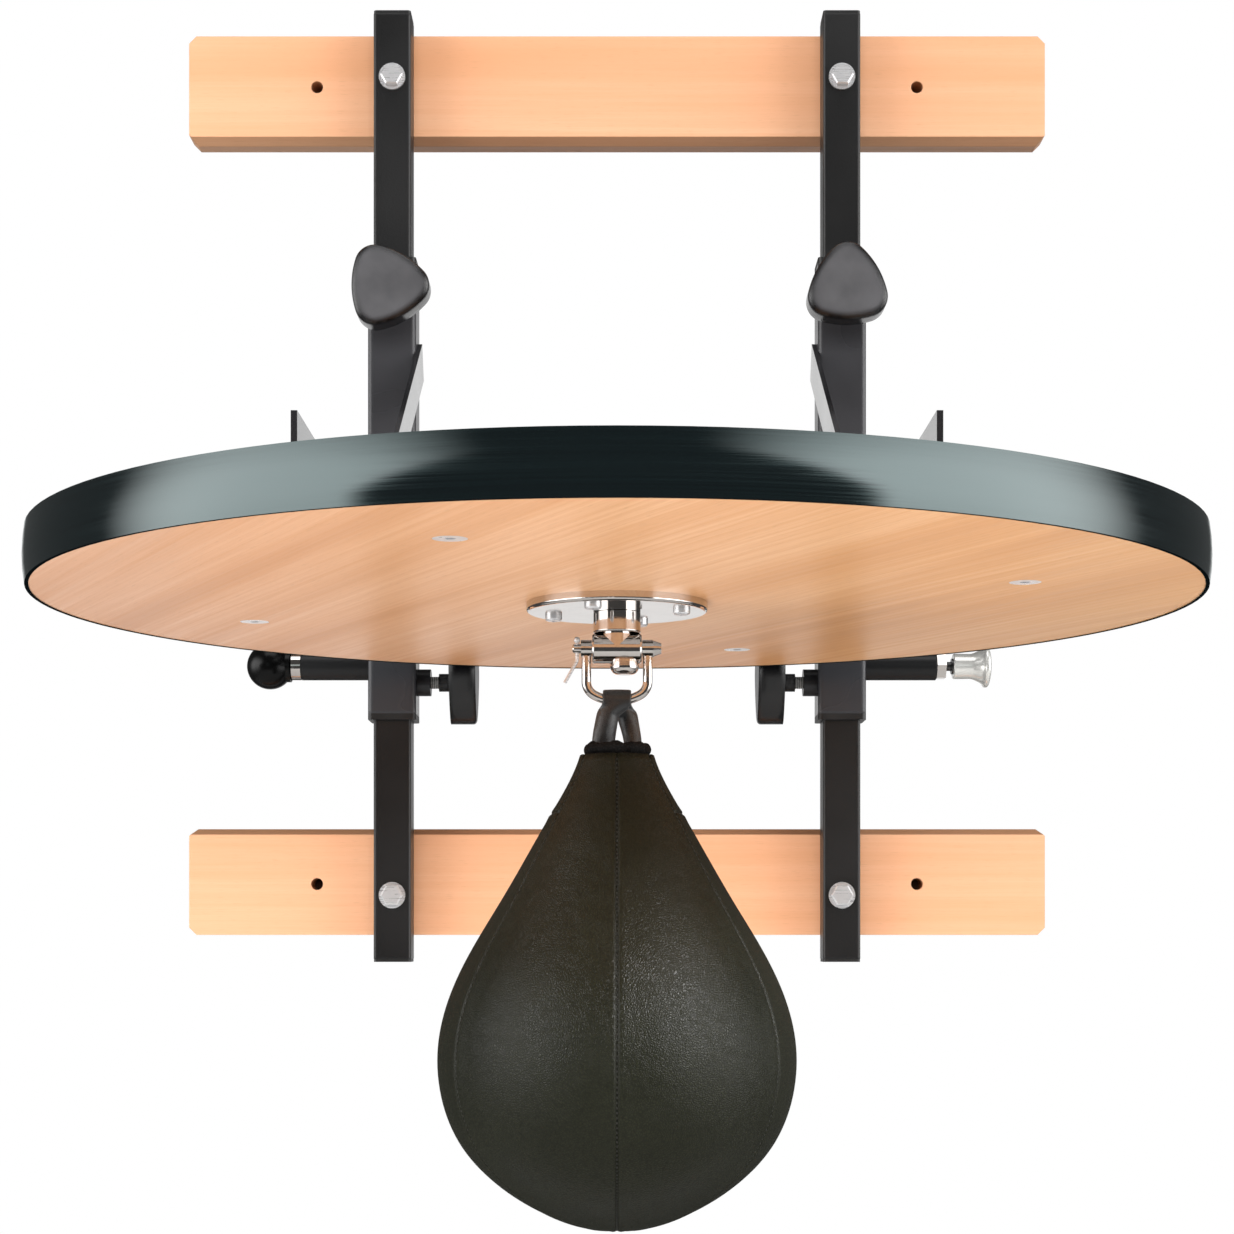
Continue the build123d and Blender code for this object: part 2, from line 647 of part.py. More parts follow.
CLIP_START = RIGHT_NUT_END + PIN_STROKE_IN + 0.1
PULL_START = CLIP_START + 1.1
PULL_LENGTH = 24.5
right_pin_clip = pin_profile(
    [(CLIP_START, PIN_ROD_R), (CLIP_START, 5.2), (CLIP_START + 1.0, 5.2), (CLIP_START + 1.0, PIN_ROD_R)],
    "clip",
)
with BuildPart() as flared_knob:
    with BuildSketch(Plane(origin=(0, RAIL_Y, PIN_Z), x_dir=(1, 0, 0), z_dir=(0, -1, 0))):
        with BuildLine():
            inner = Polyline(
                (RIGHT_ROD_END, 0),
                (RIGHT_ROD_END, PIN_ROD_R),
                (PULL_START, PIN_ROD_R),
                (PULL_START, 7.9),
                (PULL_START + 0.6, 8.5),
                (PULL_START + 11.0, 8.4),
            )
            flare = Spline(
                inner @ 1,
                (PULL_START + 16.0, 9.9),
                (PULL_START + 20.4, 13.6),
                tangents=((1, 0), (0.35, 1)),
            )
            rim = ThreePointArc(flare @ 1, (PULL_START + 22.2, 14.2), (PULL_START + 23.9, 12.4))
            Polyline(
                rim @ 1,
                (PULL_START + PULL_LENGTH, 10.5),
                (PULL_START + PULL_LENGTH, 0),
                (RIGHT_ROD_END, 0),
            )
        make_face()
    revolve(axis=Axis((0, RAIL_Y, PIN_Z), (1, 0, 0)))


# ---------------------------------------------------------------- clamp knobs
def lobed_knob(base, first_lobe):
    """Three-lobed knob with its hub starting at the base plane and its face on the +Z side of that plane.

    The outline is three lobe arcs joined by three flatter arcs tangent to them. Each flat arc has its
    centre beyond the knob's axis, seen from its own side."""
    out = Axis(base.origin, base.z_dir)
    side_reach = SIDE_R - LOBE_R
    centre_back = (LOBE_OFFSET**2 - side_reach**2) / (2 * side_reach - LOBE_OFFSET)
    share = LOBE_R / (side_reach + centre_back)
    lobes = [first_lobe + 120 * k for k in range(3)]
    with BuildPart() as knob:
        with BuildSketch(base):
            Circle(HUB_R)
        extrude(amount=HUB_LENGTH)
        with BuildSketch(base.offset(HUB_LENGTH)):
            with BuildLine():
                for angle in lobes:
                    lobe = Vector(LOBE_OFFSET, 0).rotate(Axis.Z, angle)
                    tip = Vector(LOBE_OFFSET + LOBE_R, 0).rotate(Axis.Z, angle)
                    before = Vector(-centre_back, 0).rotate(Axis.Z, angle - 60)
                    after = Vector(-centre_back, 0).rotate(Axis.Z, angle + 60)
                    following = Vector(LOBE_OFFSET, 0).rotate(Axis.Z, angle + 120)
                    side = Vector(SIDE_R, 0).rotate(Axis.Z, angle + 60)
                    leave = lobe + (lobe - after) * share
                    ThreePointArc(lobe + (lobe - before) * share, tip, leave)
                    ThreePointArc(leave, side, following + (following - after) * share)
            make_face()
        extrude(amount=KNOB_THICKNESS)
        fillet(knob.faces().sort_by(out)[-1].edges(), 2.6)
        with BuildSketch(base):
            Circle(STUD_R)
        extrude(amount=STUD_SEAT, mode=Mode.SUBTRACT)
    return knob.part


def clamp_stud(base, length):
    """Threaded stud drawn as a plain shank, from the base plane to the seat in its knob."""
    out = Axis(base.origin, base.z_dir)
    with BuildPart() as stud:
        with BuildSketch(base):
            Circle(STUD_R)
        extrude(amount=length)
        chamfer(stud.faces().sort_by(out)[0].edges(), 0.8)
    return stud.part


def clamp_plane(x, y, z, direction, lift):
    """Plane across a clamp screw, lifted along the way the screw leaves the rail."""
    side = (0, 1, 0) if abs(direction[0]) > 0 else (1, 0, 0)
    return Plane(origin=(x, y, z), x_dir=side, z_dir=direction).offset(lift)


front_hub = SLEEVE_SIZE / 2 + BOSS_LENGTH + STUD_GAP
rail_face = RAIL_SIZE / 2 + PIN_REST_GAP
stud_length = front_hub - rail_face + STUD_SEAT
front_out = (0, -1, 0)
left_out = (1, 0, 0)
right_out = (-1, 0, 0)
left_front_knob = lobed_knob(clamp_plane(-RAIL_X, RAIL_Y, FRONT_CLAMP_Z, front_out, front_hub), 0)
right_front_knob = lobed_knob(clamp_plane(RAIL_X, RAIL_Y, FRONT_CLAMP_Z, front_out, front_hub), 90)
left_front_stud = clamp_stud(clamp_plane(-RAIL_X, RAIL_Y, FRONT_CLAMP_Z, front_out, rail_face), stud_length)
right_front_stud = clamp_stud(clamp_plane(RAIL_X, RAIL_Y, FRONT_CLAMP_Z, front_out, rail_face), stud_length)
left_side_knob = lobed_knob(clamp_plane(-RAIL_X, RAIL_Y, SIDE_CLAMP_Z, left_out, front_hub), -90)
right_side_knob = mirrored(left_side_knob)
left_side_stud = clamp_stud(clamp_plane(-RAIL_X, RAIL_Y, SIDE_CLAMP_Z, left_out, rail_face), stud_length)
right_side_stud = mirrored(left_side_stud)

# ---------------------------------------------------------------- swivel
with BuildPart() as swivel_plate:
    with BuildSketch(at_board_centre(PLATE_BOTTOM)):
        Circle(PLATE_R)
    extrude(amount=BOARD_BOTTOM - PLATE_BOTTOM)
    fillet(swivel_plate.faces().sort_by(Axis.Z)[0].edges(), 1.8)
    with BuildSketch(at_board_centre(PLATE_BOTTOM)):
        Circle(BUSH_R)
    extrude(amount=BOARD_BOTTOM - PLATE_BOTTOM, mode=Mode.SUBTRACT)
    with BuildSketch(level(PLATE_BOTTOM)):
        with Locations(*plate_screw_spots):
            Circle(PLATE_SCREW_R + 0.2)
    extrude(amount=BOARD_BOTTOM - PLATE_BOTTOM, mode=Mode.SUBTRACT)

with BuildPart() as swivel_screws:
    for x, y in plate_screw_spots:
        with BuildSketch(level(PLATE_BOTTOM)):
            with Locations((x, y)):
                Circle(PLATE_SCREW_R)
        extrude(amount=PLY + 3)
        with BuildSketch(level(PLATE_BOTTOM)):
            with Locations((x, y)):
                Circle(PLATE_SCREW_HEAD_R)
        extrude(amount=-2.9)
    fillet(swivel_screws.faces().group_by(Axis.Z)[0].edges(), 1.4)
    with BuildSketch(level(PLATE_BOTTOM - 2.9)):
        with Locations(*plate_screw_spots):
            Rectangle(4.6, 1.0)
            Rectangle(1.0, 4.6)
    extrude(amount=1.4, mode=Mode.SUBTRACT)

with BuildPart() as plate_bush:
    with BuildSketch(at_board_centre(PLATE_BOTTOM)):
        Circle(BUSH_R)
    extrude(amount=BOARD_BOTTOM - PLATE_BOTTOM)
    with BuildSketch(at_board_centre(BOARD_BOTTOM)):
        Circle(FLANGE_R)
    extrude(amount=FLANGE_TOP - BOARD_BOTTOM)
    with BuildSketch(at_board_centre(PLATE_BOTTOM)):
        Circle(SPINDLE_R + RUNNING)
    extrude(amount=FLANGE_TOP - PLATE_BOTTOM, mode=Mode.SUBTRACT)

with BuildPart() as thrust_balls:
    with Locations(at_board_centre(BALL_Z)):
        with PolarLocations(BALL_CIRCLE_R, 12):
            Sphere(BALL_R)

with BuildPart() as thrust_washer:
    with BuildSketch(at_board_centre(THRUST_BOTTOM)):
        Circle(FLANGE_R)
        Circle(SPINDLE_R, mode=Mode.SUBTRACT)
    extrude(amount=THRUST_TOP - THRUST_BOTTOM)

with BuildPart() as spindle_nut:
    with BuildSketch(at_board_centre(THRUST_TOP)):
        RegularPolygon(8.5, 6, major_radius=False)
        Circle(SPINDLE_R, mode=Mode.SUBTRACT)
    extrude(amount=SPINDLE_NUT_TOP - THRUST_TOP)

with BuildPart() as swivel_spindle:
    with BuildSketch(at_board_centre(SPINDLE_BOTTOM)):
        Circle(SPINDLE_R)
    extrude(amount=SPINDLE_TOP - SPINDLE_BOTTOM)
    chamfer(swivel_spindle.faces().sort_by(Axis.Z)[-1].edges(), 0.8)

SET_SCREW_Z = -137.6
with BuildPart() as swivel_collar:
    with BuildSketch(at_board_centre(COLLAR_BOTTOM)):
        Circle(COLLAR_R)
    extrude(amount=COLLAR_TOP - COLLAR_BOTTOM)
    fillet(swivel_collar.faces().sort_by(Axis.Z)[0].edges(), 1.0)
    with BuildSketch(at_board_centre(COLLAR_BOTTOM)):
        Circle(NECK_R)
    extrude(amount=NECK_TOP - COLLAR_BOTTOM, mode=Mode.SUBTRACT)
    with BuildSketch(at_board_centre(COLLAR_BOTTOM)):
        Circle(SPINDLE_R)
    extrude(amount=COLLAR_TOP - COLLAR_BOTTOM, mode=Mode.SUBTRACT)
    with BuildSketch(Plane.YZ):
        with Locations((DISC_Y, SET_SCREW_Z)):
            Circle(1.5)
    extrude(amount=COLLAR_R, mode=Mode.SUBTRACT)

with BuildPart() as collar_set_screw:
    with BuildSketch(Plane.YZ.offset(SPINDLE_R + 0.02)):
        with Locations((DISC_Y, SET_SCREW_Z)):
            Circle(1.5)
    extrude(amount=COLLAR_R - SPINDLE_R + 0.7)
    with BuildSketch(Plane.YZ.offset(COLLAR_R - 0.8)):
        with Locations((DISC_Y, SET_SCREW_Z)):
            RegularPolygon(0.75, 6, major_radius=False)
    extrude(amount=2, mode=Mode.SUBTRACT)

with BuildPart() as swivel_barrel:
    with BuildSketch(pivot_side.offset(-PIVOT_HALF_LENGTH)):
        Circle(PIVOT_BARREL_R)
    extrude(amount=2 * PIVOT_HALF_LENGTH)
    chamfer(swivel_barrel.edges().filter_by(GeomType.CIRCLE), 0.8)
    with BuildSketch(at_board_centre(PIVOT_Z)):
        Circle(NECK_R)
    extrude(amount=NECK_TOP - PIVOT_Z)
    with BuildSketch(pivot_side.offset(-PIVOT_HALF_LENGTH)):
        Circle(PIVOT_BUSH_R)
    extrude(amount=2 * PIVOT_HALF_LENGTH, mode=Mode.SUBTRACT)
    with BuildSketch(at_board_centre(SPINDLE_BOTTOM)):
        Circle(SPINDLE_R)
    extrude(amount=NECK_TOP - SPINDLE_BOTTOM, mode=Mode.SUBTRACT)
    with BuildSketch(at_board_centre(PIVOT_Z - PIVOT_BARREL_R)):
        with Locations((PLUG_X, 0)):
            Circle(2.5)
    extrude(amount=3, mode=Mode.SUBTRACT)

with BuildPart() as pivot_bush:
    with BuildSketch(pivot_side.offset(-PIVOT_HALF_LENGTH)):
        Circle(PIVOT_BUSH_R)
        Circle(CLEVIS_PIN_R + RUNNING, mode=Mode.SUBTRACT)
    extrude(amount=2 * PIVOT_HALF_LENGTH)

with BuildPart() as barrel_plug:
    with BuildSketch(at_board_centre(PIVOT_Z - PLUG_DEPTH)):
        with Locations((PLUG_X, 0)):
            Circle(PLUG_R)
    extrude(amount=PLUG_DEPTH - 6)
    fillet(barrel_plug.faces().sort_by(Axis.Z)[0].edges(), 4.2)
    with BuildSketch(pivot_side.offset(-PIVOT_HALF_LENGTH)):
        Circle(PIVOT_BARREL_R)
    extrude(amount=2 * PIVOT_HALF_LENGTH, mode=Mode.SUBTRACT)
    with BuildSketch(at_board_centre(PIVOT_Z - PIVOT_BARREL_R - 1)):
        with Locations((PLUG_X, 0)):
            Circle(2.5)
    extrude(amount=3.8)

# ---------------------------------------------------------------- shackle
corner_x = LEG_X - BOW_CORNER_R
bend_angle = asin(corner_x / (BOW_R - BOW_CORNER_R))
bend_x = BOW_R * sin(bend_angle)
bend_z = BOW_Z - BOW_R * cos(bend_angle)
corner_z = BOW_Z - (BOW_R - BOW_CORNER_R) * cos(bend_angle)
mid_angle = (bend_angle + pi / 2) / 2
corner_mid_x = corner_x + BOW_CORNER_R * sin(mid_angle)
corner_mid_z = corner_z - BOW_CORNER_R * cos(mid_angle)
with BuildPart() as shackle:
    with BuildLine(swivel_front) as bow:
        left_leg = Line((-LEG_X, PIVOT_Z), (-LEG_X, corner_z))
        left_bend = ThreePointArc(left_leg @ 1, (-corner_mid_x, corner_mid_z), (-bend_x, bend_z))
        foot = ThreePointArc(left_bend @ 1, (0, BOW_Z - BOW_R), (bend_x, bend_z))
        right_bend = ThreePointArc(foot @ 1, (corner_mid_x, corner_mid_z), (LEG_X, corner_z))
        Line(right_bend @ 1, (LEG_X, PIVOT_Z))
    with BuildSketch(Plane(origin=bow.line @ 0, z_dir=bow.line % 0)):
        Circle(WIRE_R)
    sweep(path=bow.line)
    for start in (EYE_INNER, -EYE_OUTER):
        with BuildSketch(pivot_side.offset(start)):
            Circle(EYE_R)
        extrude(amount=EYE_OUTER - EYE_INNER)
    with BuildSketch(pivot_side.offset(-EYE_OUTER)):
        Circle(CLEVIS_PIN_R + RUNNING)
    extrude(amount=2 * EYE_OUTER, mode=Mode.SUBTRACT)

with BuildPart() as clevis_pin:
    with BuildSketch(Plane(origin=(0, DISC_Y, PIVOT_Z), x_dir=(1, 0, 0), z_dir=(0, -1, 0))):
        with BuildLine():
            Polyline(
                (COTTER_X - 2.4, 0),
                (COTTER_X - 2.4, CLEVIS_PIN_R - 0.7),
                (COTTER_X - 1.7, CLEVIS_PIN_R),
                (EYE_OUTER, CLEVIS_PIN_R),
                (EYE_OUTER, 4.4),
                (EYE_OUTER + 4.4, 2.8),
                (EYE_OUTER + 4.4, 0),
                close=True,
            )
        make_face()
    revolve(axis=Axis((0, DISC_Y, PIVOT_Z), (1, 0, 0)))
    with BuildSketch(at_board_centre(PIVOT_Z - CLEVIS_PIN_R)):
        with Locations((COTTER_X, 0)):
            Circle(1.0)
    extrude(amount=2 * CLEVIS_PIN_R, mode=Mode.SUBTRACT)

with BuildPart() as cotter_pin:
    with BuildLine(swivel_front) as leg:
        FilletPolyline(
            (COTTER_X, PIVOT_Z + 4.2),
            (COTTER_X, PIVOT_Z - 6.5),
            (COTTER_X - 6.5, PIVOT_Z - 18.0),
            radius=4.0,
        )
    with BuildSketch(Plane(origin=leg.line @ 0, z_dir=leg.line % 0)):
        Circle(0.9)
    sweep(path=leg.line)
    with Locations((COTTER_X, DISC_Y, PIVOT_Z + 4.5)):
        Sphere(1.7)

# ---------------------------------------------------------------- speed bag
loop_axis = Axis((0, DISC_Y, BOW_Z), (0, 1, 0))
loop_outer = LOOP_INNER + LOOP_THICKNESS
wire_z = BOW_Z - BOW_R
with BuildPart() as bag_loop:
    for way in (1, -1):
        with BuildSketch(Plane(origin=(0, DISC_Y, 0), x_dir=(0, 1, 0), z_dir=(1, 0, 0))):
            with Locations((0, wire_z)):
                Circle(loop_outer)
                Circle(LOOP_INNER, mode=Mode.SUBTRACT)
            with Locations((0, wire_z - loop_outer)):
                Rectangle(4 * loop_outer, 2 * loop_outer, mode=Mode.SUBTRACT)
        revolve(axis=Axis(loop_axis.position, (0, way, 0)), revolution_arc=LOOP_ARC)
    for y in (LOOP_INNER, -loop_outer):
        with BuildSketch(Plane(origin=(0, DISC_Y + y, 0), x_dir=(-1, 0, 0), z_dir=(0, 1, 0))):
            with BuildLine():
                Polyline(
                    (-LOOP_TOP_WIDTH / 2, wire_z + 1.2),
                    (-LOOP_TOP_WIDTH / 2, wire_z - 1.5),
                    (-LOOP_FOOT_WIDTH / 2, BAG_COLLAR_TOP),
                    (LOOP_FOOT_WIDTH / 2, BAG_COLLAR_TOP),
                    (LOOP_TOP_WIDTH / 2, wire_z - 1.5),
                    (LOOP_TOP_WIDTH / 2, wire_z + 1.2),
                    close=True,
                )
            make_face()
        extrude(amount=LOOP_THICKNESS)

with BuildPart() as bag_collar:
    with BuildSketch(at_board_centre(BAG_TOP)):
        Circle(BAG_COLLAR_R)
    extrude(amount=BAG_COLLAR_TOP - BAG_TOP)
    fillet(bag_collar.faces().sort_by(Axis.Z)[-1].edges(), 2.5)


def bag_shell(outer_inset, inner_inset):
    """A closed pear shape with a hollow, each surface set in from the bag's outside by the amount given."""
    with BuildPart() as shell:
        for inset, way in ((outer_inset, Mode.ADD), (inner_inset, Mode.SUBTRACT)):
            squeeze = 1 - 2 * inset / BAG_LENGTH
            top = BAG_TOP - inset
            with BuildSketch(swivel_front):
                with BuildLine():
                    side = Spline(
                        (BAG_TOP_R - inset, top),
                        *[(r - inset, top - depth * squeeze) for r, depth in BAG_PROFILE],
                        (0, top - BAG_LENGTH * squeeze),
                        tangents=((0.3, -1), (-1, 0)),
                    )
                    Polyline(side @ 1, (0, top), side @ 0)
                make_face()
            revolve(axis=disc_axis, mode=way)
        with BuildSketch(at_board_centre(BAG_TOP - BAG_LENGTH)):
            Circle(VALVE_R)
        extrude(amount=BAG_LENGTH / 4, mode=Mode.SUBTRACT)
    return shell.part


bag_cover = bag_shell(0, COVER_THICKNESS)
bag_bladder = bag_shell(BLADDER_INSET, BLADDER_INSET + BLADDER_THICKNESS)

with BuildPart() as bag_valve:
    with BuildSketch(at_board_centre(BAG_TOP - BAG_LENGTH + 0.4)):
        Circle(VALVE_R)
    extrude(amount=9)
    fillet(bag_valve.faces().sort_by(Axis.Z)[0].edges(), 1.0)
    with BuildSketch(at_board_centre(BAG_TOP - BAG_LENGTH + 0.4)):
        Circle(0.9)
    extrude(amount=9, mode=Mode.SUBTRACT)

pieces = {
    "upper_plank": upper_plank,
    "lower_plank": lower_plank,
    "left_rail": left_rail,
    "right_rail": right_rail,
    "rail_end_caps": rail_end_caps.part,
    "rail_bolts": rail_bolts.part,
    "rail_nuts": rail_nuts.part,
    "left_sleeve": left_sleeve,
    "right_sleeve": right_sleeve,
    "sleeve_bushings": sleeve_bushings.part,
    "clamp_bosses": clamp_bosses.part,
    "left_arm": left_arm,
    "right_arm": right_arm,
    "left_brace": left_brace,
    "right_brace": right_brace,
    "platform_board_lower": platform_board_lower,
    "platform_board_upper": platform_board_upper,
    "edge_band": edge_band.part,
    "board_screws": board_screws.part,
    "arm_bolts": arm_bolts.part,
    "arm_washers": arm_washers.part,
    "left_pin_barrel": left_pin_barrel,
    "right_pin_barrel": right_pin_barrel,
    "left_pin_collar": left_pin_collar,
    "right_pin_nut": right_pin_nut.part,
    "left_pin_spring": left_pin_spring,
    "right_pin_spring": right_pin_spring,
    "left_pin_plunger": left_pin_plunger,
    "right_pin_plunger": right_pin_plunger,
    "left_ball_knob": left_ball_knob,
    "right_pin_clip": right_pin_clip,
    "right_flared_knob": flared_knob.part,
    "left_front_knob": left_front_knob,
    "right_front_knob": right_front_knob,
    "left_front_stud": left_front_stud,
    "right_front_stud": right_front_stud,
    "left_side_knob": left_side_knob,
    "right_side_knob": right_side_knob,
    "left_side_stud": left_side_stud,
    "right_side_stud": right_side_stud,
    "swivel_plate": swivel_plate.part,
    "swivel_screws": swivel_screws.part,
    "plate_bush": plate_bush.part,
    "thrust_balls": thrust_balls.part,
    "thrust_washer": thrust_washer.part,
    "spindle_nut": spindle_nut.part,
    "swivel_spindle": swivel_spindle.part,
    "swivel_collar": swivel_collar.part,
    "collar_set_screw": collar_set_screw.part,
    "swivel_barrel": swivel_barrel.part,
    "pivot_bush": pivot_bush.part,
    "barrel_plug": barrel_plug.part,
    "shackle": shackle.part,
    "clevis_pin": clevis_pin.part,
    "cotter_pin": cotter_pin.part,
    "bag_loop": bag_loop.part,
    "bag_collar": bag_collar.part,
    "bag_cover": bag_cover,
    "bag_bladder": bag_bladder,
    "bag_valve": bag_valve.part,
}

os.makedirs("parts", exist_ok=True)
for name, piece in pieces.items():
    piece.label = name
    export_step(piece, f"parts/{name}.step")
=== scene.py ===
"""Looks of the speed bag platform: materials, soft bag and strap, pin springs, light, camera.

Metres, in the row frame: origin between the wall holes, -Y out from the wall, +Z up.
"""

import json
import math

import bpy
import numpy as np
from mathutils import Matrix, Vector


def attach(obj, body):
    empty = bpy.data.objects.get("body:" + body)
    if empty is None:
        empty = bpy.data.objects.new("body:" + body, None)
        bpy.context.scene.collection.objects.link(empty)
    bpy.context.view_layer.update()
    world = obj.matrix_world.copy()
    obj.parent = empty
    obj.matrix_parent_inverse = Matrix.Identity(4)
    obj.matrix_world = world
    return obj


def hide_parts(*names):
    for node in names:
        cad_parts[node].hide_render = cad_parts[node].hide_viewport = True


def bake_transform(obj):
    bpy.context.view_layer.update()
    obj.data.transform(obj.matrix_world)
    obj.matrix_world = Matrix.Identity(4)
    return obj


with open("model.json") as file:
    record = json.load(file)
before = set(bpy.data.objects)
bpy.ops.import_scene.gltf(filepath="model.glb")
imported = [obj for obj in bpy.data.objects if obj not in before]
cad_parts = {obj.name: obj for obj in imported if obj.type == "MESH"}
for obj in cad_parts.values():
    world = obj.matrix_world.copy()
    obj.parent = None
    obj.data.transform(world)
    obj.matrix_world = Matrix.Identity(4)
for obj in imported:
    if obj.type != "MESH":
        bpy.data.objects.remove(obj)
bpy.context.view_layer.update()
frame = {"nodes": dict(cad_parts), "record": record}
nodes = frame["nodes"]
scene = bpy.context.scene
rng = np.random.default_rng(11)

MM = 0.001
AXIS_Y = -0.37  # the upright line through the board's middle, the swivel and the bag


# ------------------------------------------------------------------ materials
class Look:
    """One material and a short way to add nodes to it."""

    def __init__(
        self, name, colour, rough, metal=0.0, coat=0.0, coat_rough=0.1, specular=0.5, sheen=0.0
    ):
        self.m = bpy.data.materials.new(name)
        self.m.use_nodes = True
        self.tree = self.m.node_tree
        self.bsdf = self.tree.nodes["Principled BSDF"]
        self.set(self.bsdf, "Base Color", (*colour, 1))
        self.set(self.bsdf, "Roughness", rough)
        self.set(self.bsdf, "Metallic", metal)
        self.set(self.bsdf, "Coat Weight", coat)
        self.set(self.bsdf, "Coat Roughness", coat_rough)
        self.set(self.bsdf, "Specular IOR Level", specular)
        self.set(self.bsdf, "Sheen Weight", sheen)
        self.coords = self.tree.nodes.new("ShaderNodeTexCoord").outputs["Object"]
        self.normal = None

    def set(self, node, socket, value):
        """Links a socket or sets a plain value."""
        if isinstance(value, bpy.types.NodeSocket):
            self.tree.links.new(value, node.inputs[socket])
        else:
            node.inputs[socket].default_value = value

    def add(self, kind, inputs=None, **props):
        node = self.tree.nodes.new("ShaderNode" + kind)
        for key, value in props.items():
            setattr(node, key, value)
        for socket, value in (inputs or {}).items():
            self.set(node, socket, value)
        return node

    def mapped(self, scale, turn=0):
        """Object coordinates turned about Z by so many degrees, then scaled."""
        rotation = (0, 0, math.radians(turn))
        turned = self.add("Mapping", {"Vector": self.coords, "Rotation": rotation})
        return self.add("Mapping", {"Vector": turned.outputs[0], "Scale": scale}).outputs[0]

    def noise(self, vector, scale, detail=3.0, rough=0.5, distort=0.0):
        inputs = {
            "Vector": vector,
            "Scale": scale,
            "Detail": detail,
            "Roughness": rough,
            "Distortion": distort,
        }
        return self.add("TexNoise", inputs).outputs["Fac"]

    def math(self, op, a, b=0.0):
        return self.add("Math", {0: a, 1: b}, operation=op).outputs[0]

    def span(self, value, low, high, to_low, to_high):
        """value mapped from low..high to to_low..to_high, and held at both ends."""
        inputs = {"Value": value, 1: low, 2: high, 3: to_low, 4: to_high}
        return self.add("MapRange", inputs, clamp=True).outputs[0]

    def blend(self, factor, a, b, mode="MIX"):
        """Colour a, turning into colour b as the factor rises."""
        mix = self.add("Mix", data_type="RGBA", blend_type=mode)
        self.set(mix, "Factor", factor)
        for index, value in ((6, a), (7, b)):
            self.set(mix, index, (*value, 1) if isinstance(value, tuple) else value)
        return mix.outputs[2]

    def ramp(self, factor, stops):
        node = self.add("ValToRGB", {"Fac": factor})
        ramp = node.color_ramp
        while len(ramp.elements) < len(stops):
            ramp.elements.new(0.5)
        for element, (place, colour) in zip(ramp.elements, stops):
            element.position = place
            element.color = (*colour, 1)
        return node.outputs[0]

    def component(self, vector, axis):
        return self.add("SeparateXYZ", {"Vector": vector}).outputs[axis]

    def squareness(self, axis):
        """1 where the surface faces along the axis, 0 where it stands edge-on to it."""
        normal = self.add("NewGeometry").outputs["True Normal"]
        return self.math("ABSOLUTE", self.component(normal, axis))

    def round_edges(self, radius):
        """Shades every hard edge as if it were rounded. Call before bump."""
        self.normal = self.add("Bevel", {"Radius": radius}, samples=6).outputs[0]
        self.set(self.bsdf, "Normal", self.normal)
        return self

    def bump(self, height, distance, strength=1.0):
        """Adds a bump on top of any bump or rounding already there."""
        node = self.add("Bump", {"Height": height, "Distance": distance, "Strength": strength})
        if self.normal is not None:
            self.set(node, "Normal", self.normal)
        self.normal = node.outputs[0]
        self.set(self.bsdf, "Normal", self.normal)
        return self

    def rough(self, value):
        self.set(self.bsdf, "Roughness", value)

    def colour(self, value):
        self.set(self.bsdf, "Base Color", value)


def wood(name, grain_turn, pale, mid, dark, contrast, painted_side_light=None):
    """Lacquered beech: faint growth bands, fine lines, streaks and short flecks along the grain.

    The last argument is the pair of colours that the left and right sides are multiplied by:
    painted light, brighter and warmer on the right and cooler on the left. Wood without it is
    painted darker, as shade, on every face that doesn't look to the front or back."""
    look = Look(name, mid, 0.4, coat=0.07, coat_rough=0.3)

    def grain(scale, *noise):
        return look.noise(look.mapped(scale, grain_turn), 1.0, *noise)

    bands = grain((1.1, 26, 26), 3, 0.5, 0.35)
    lines = grain((3.5, 240, 240), 4, 0.6, 0.15)
    streaks = grain((14, 900, 900), 2, 0.6)
    flecks = grain((110, 1700, 1700), 1, 0.4)
    darkest = tuple(c * 0.7 for c in dark)
    tone = look.ramp(bands, [(0.3, dark), (0.5, mid), (0.7, pale)])
    tone = look.blend(look.span(lines, 0.36, 0.68, 0.0, contrast), tone, dark)
    tone = look.blend(look.span(streaks, 0.45, 0.75, 0.0, contrast * 0.7), tone, dark)
    tone = look.blend(look.span(flecks, 0.62, 0.74, 0.0, contrast * 0.6), tone, darkest)
    if painted_side_light:
        # Painted light: the right side is multiplied brighter and warmer, the left side cooler.
        side = look.component(look.coords, "X")
        shade = look.blend(look.span(side, -0.28, 0.28, 0.0, 1.0), *painted_side_light)
        tone = look.blend(1.0, tone, shade, "MULTIPLY")
        look.set(look.bsdf, "Specular IOR Level", 0.3)
    else:
        # Painted shade: every face that doesn't look to the front or back is darkened, the top and
        # the underside too.
        painted_turned_face_shade = look.span(look.squareness("Y"), 0.55, 0.93, 0.85, 0.0)
        tone = look.blend(painted_turned_face_shade, tone, (0.58, 0.57, 0.52), "MULTIPLY")
    look.colour(tone)
    look.rough(look.span(lines, 0.3, 0.75, 0.34, 0.48))
    look.round_edges(1.2 * MM).bump(flecks, 0.2 * MM, 0.2).bump(lines, 0.2 * MM, 0.12)
    return look.m


def coated_steel(name, colour, rough, corner, orange=0.35 * MM, coat=0.08):
    """Semi-gloss powder coat with a faint orange-peel skin and cloudy dust."""
    coat_rough = 0.25 if coat < 0.5 else 0.1
    look = Look(name, colour, rough, specular=0.4 - 0.3 * coat, coat=coat, coat_rough=coat_rough)
    peel = look.noise(look.coords, 900, 2, 0.5)
    dust = look.noise(look.coords, 14, 2, 0.4)
    dusty = tuple(c * 1.7 + 0.004 for c in colour)
    look.colour(look.blend(look.span(dust, 0.4, 0.75, 0.0, 0.5), colour, dusty))
    look.rough(look.span(dust, 0.2, 0.8, rough - 0.06, rough + 0.08))
    look.round_edges(corner).bump(peel, orange, 0.25)
    return look.m


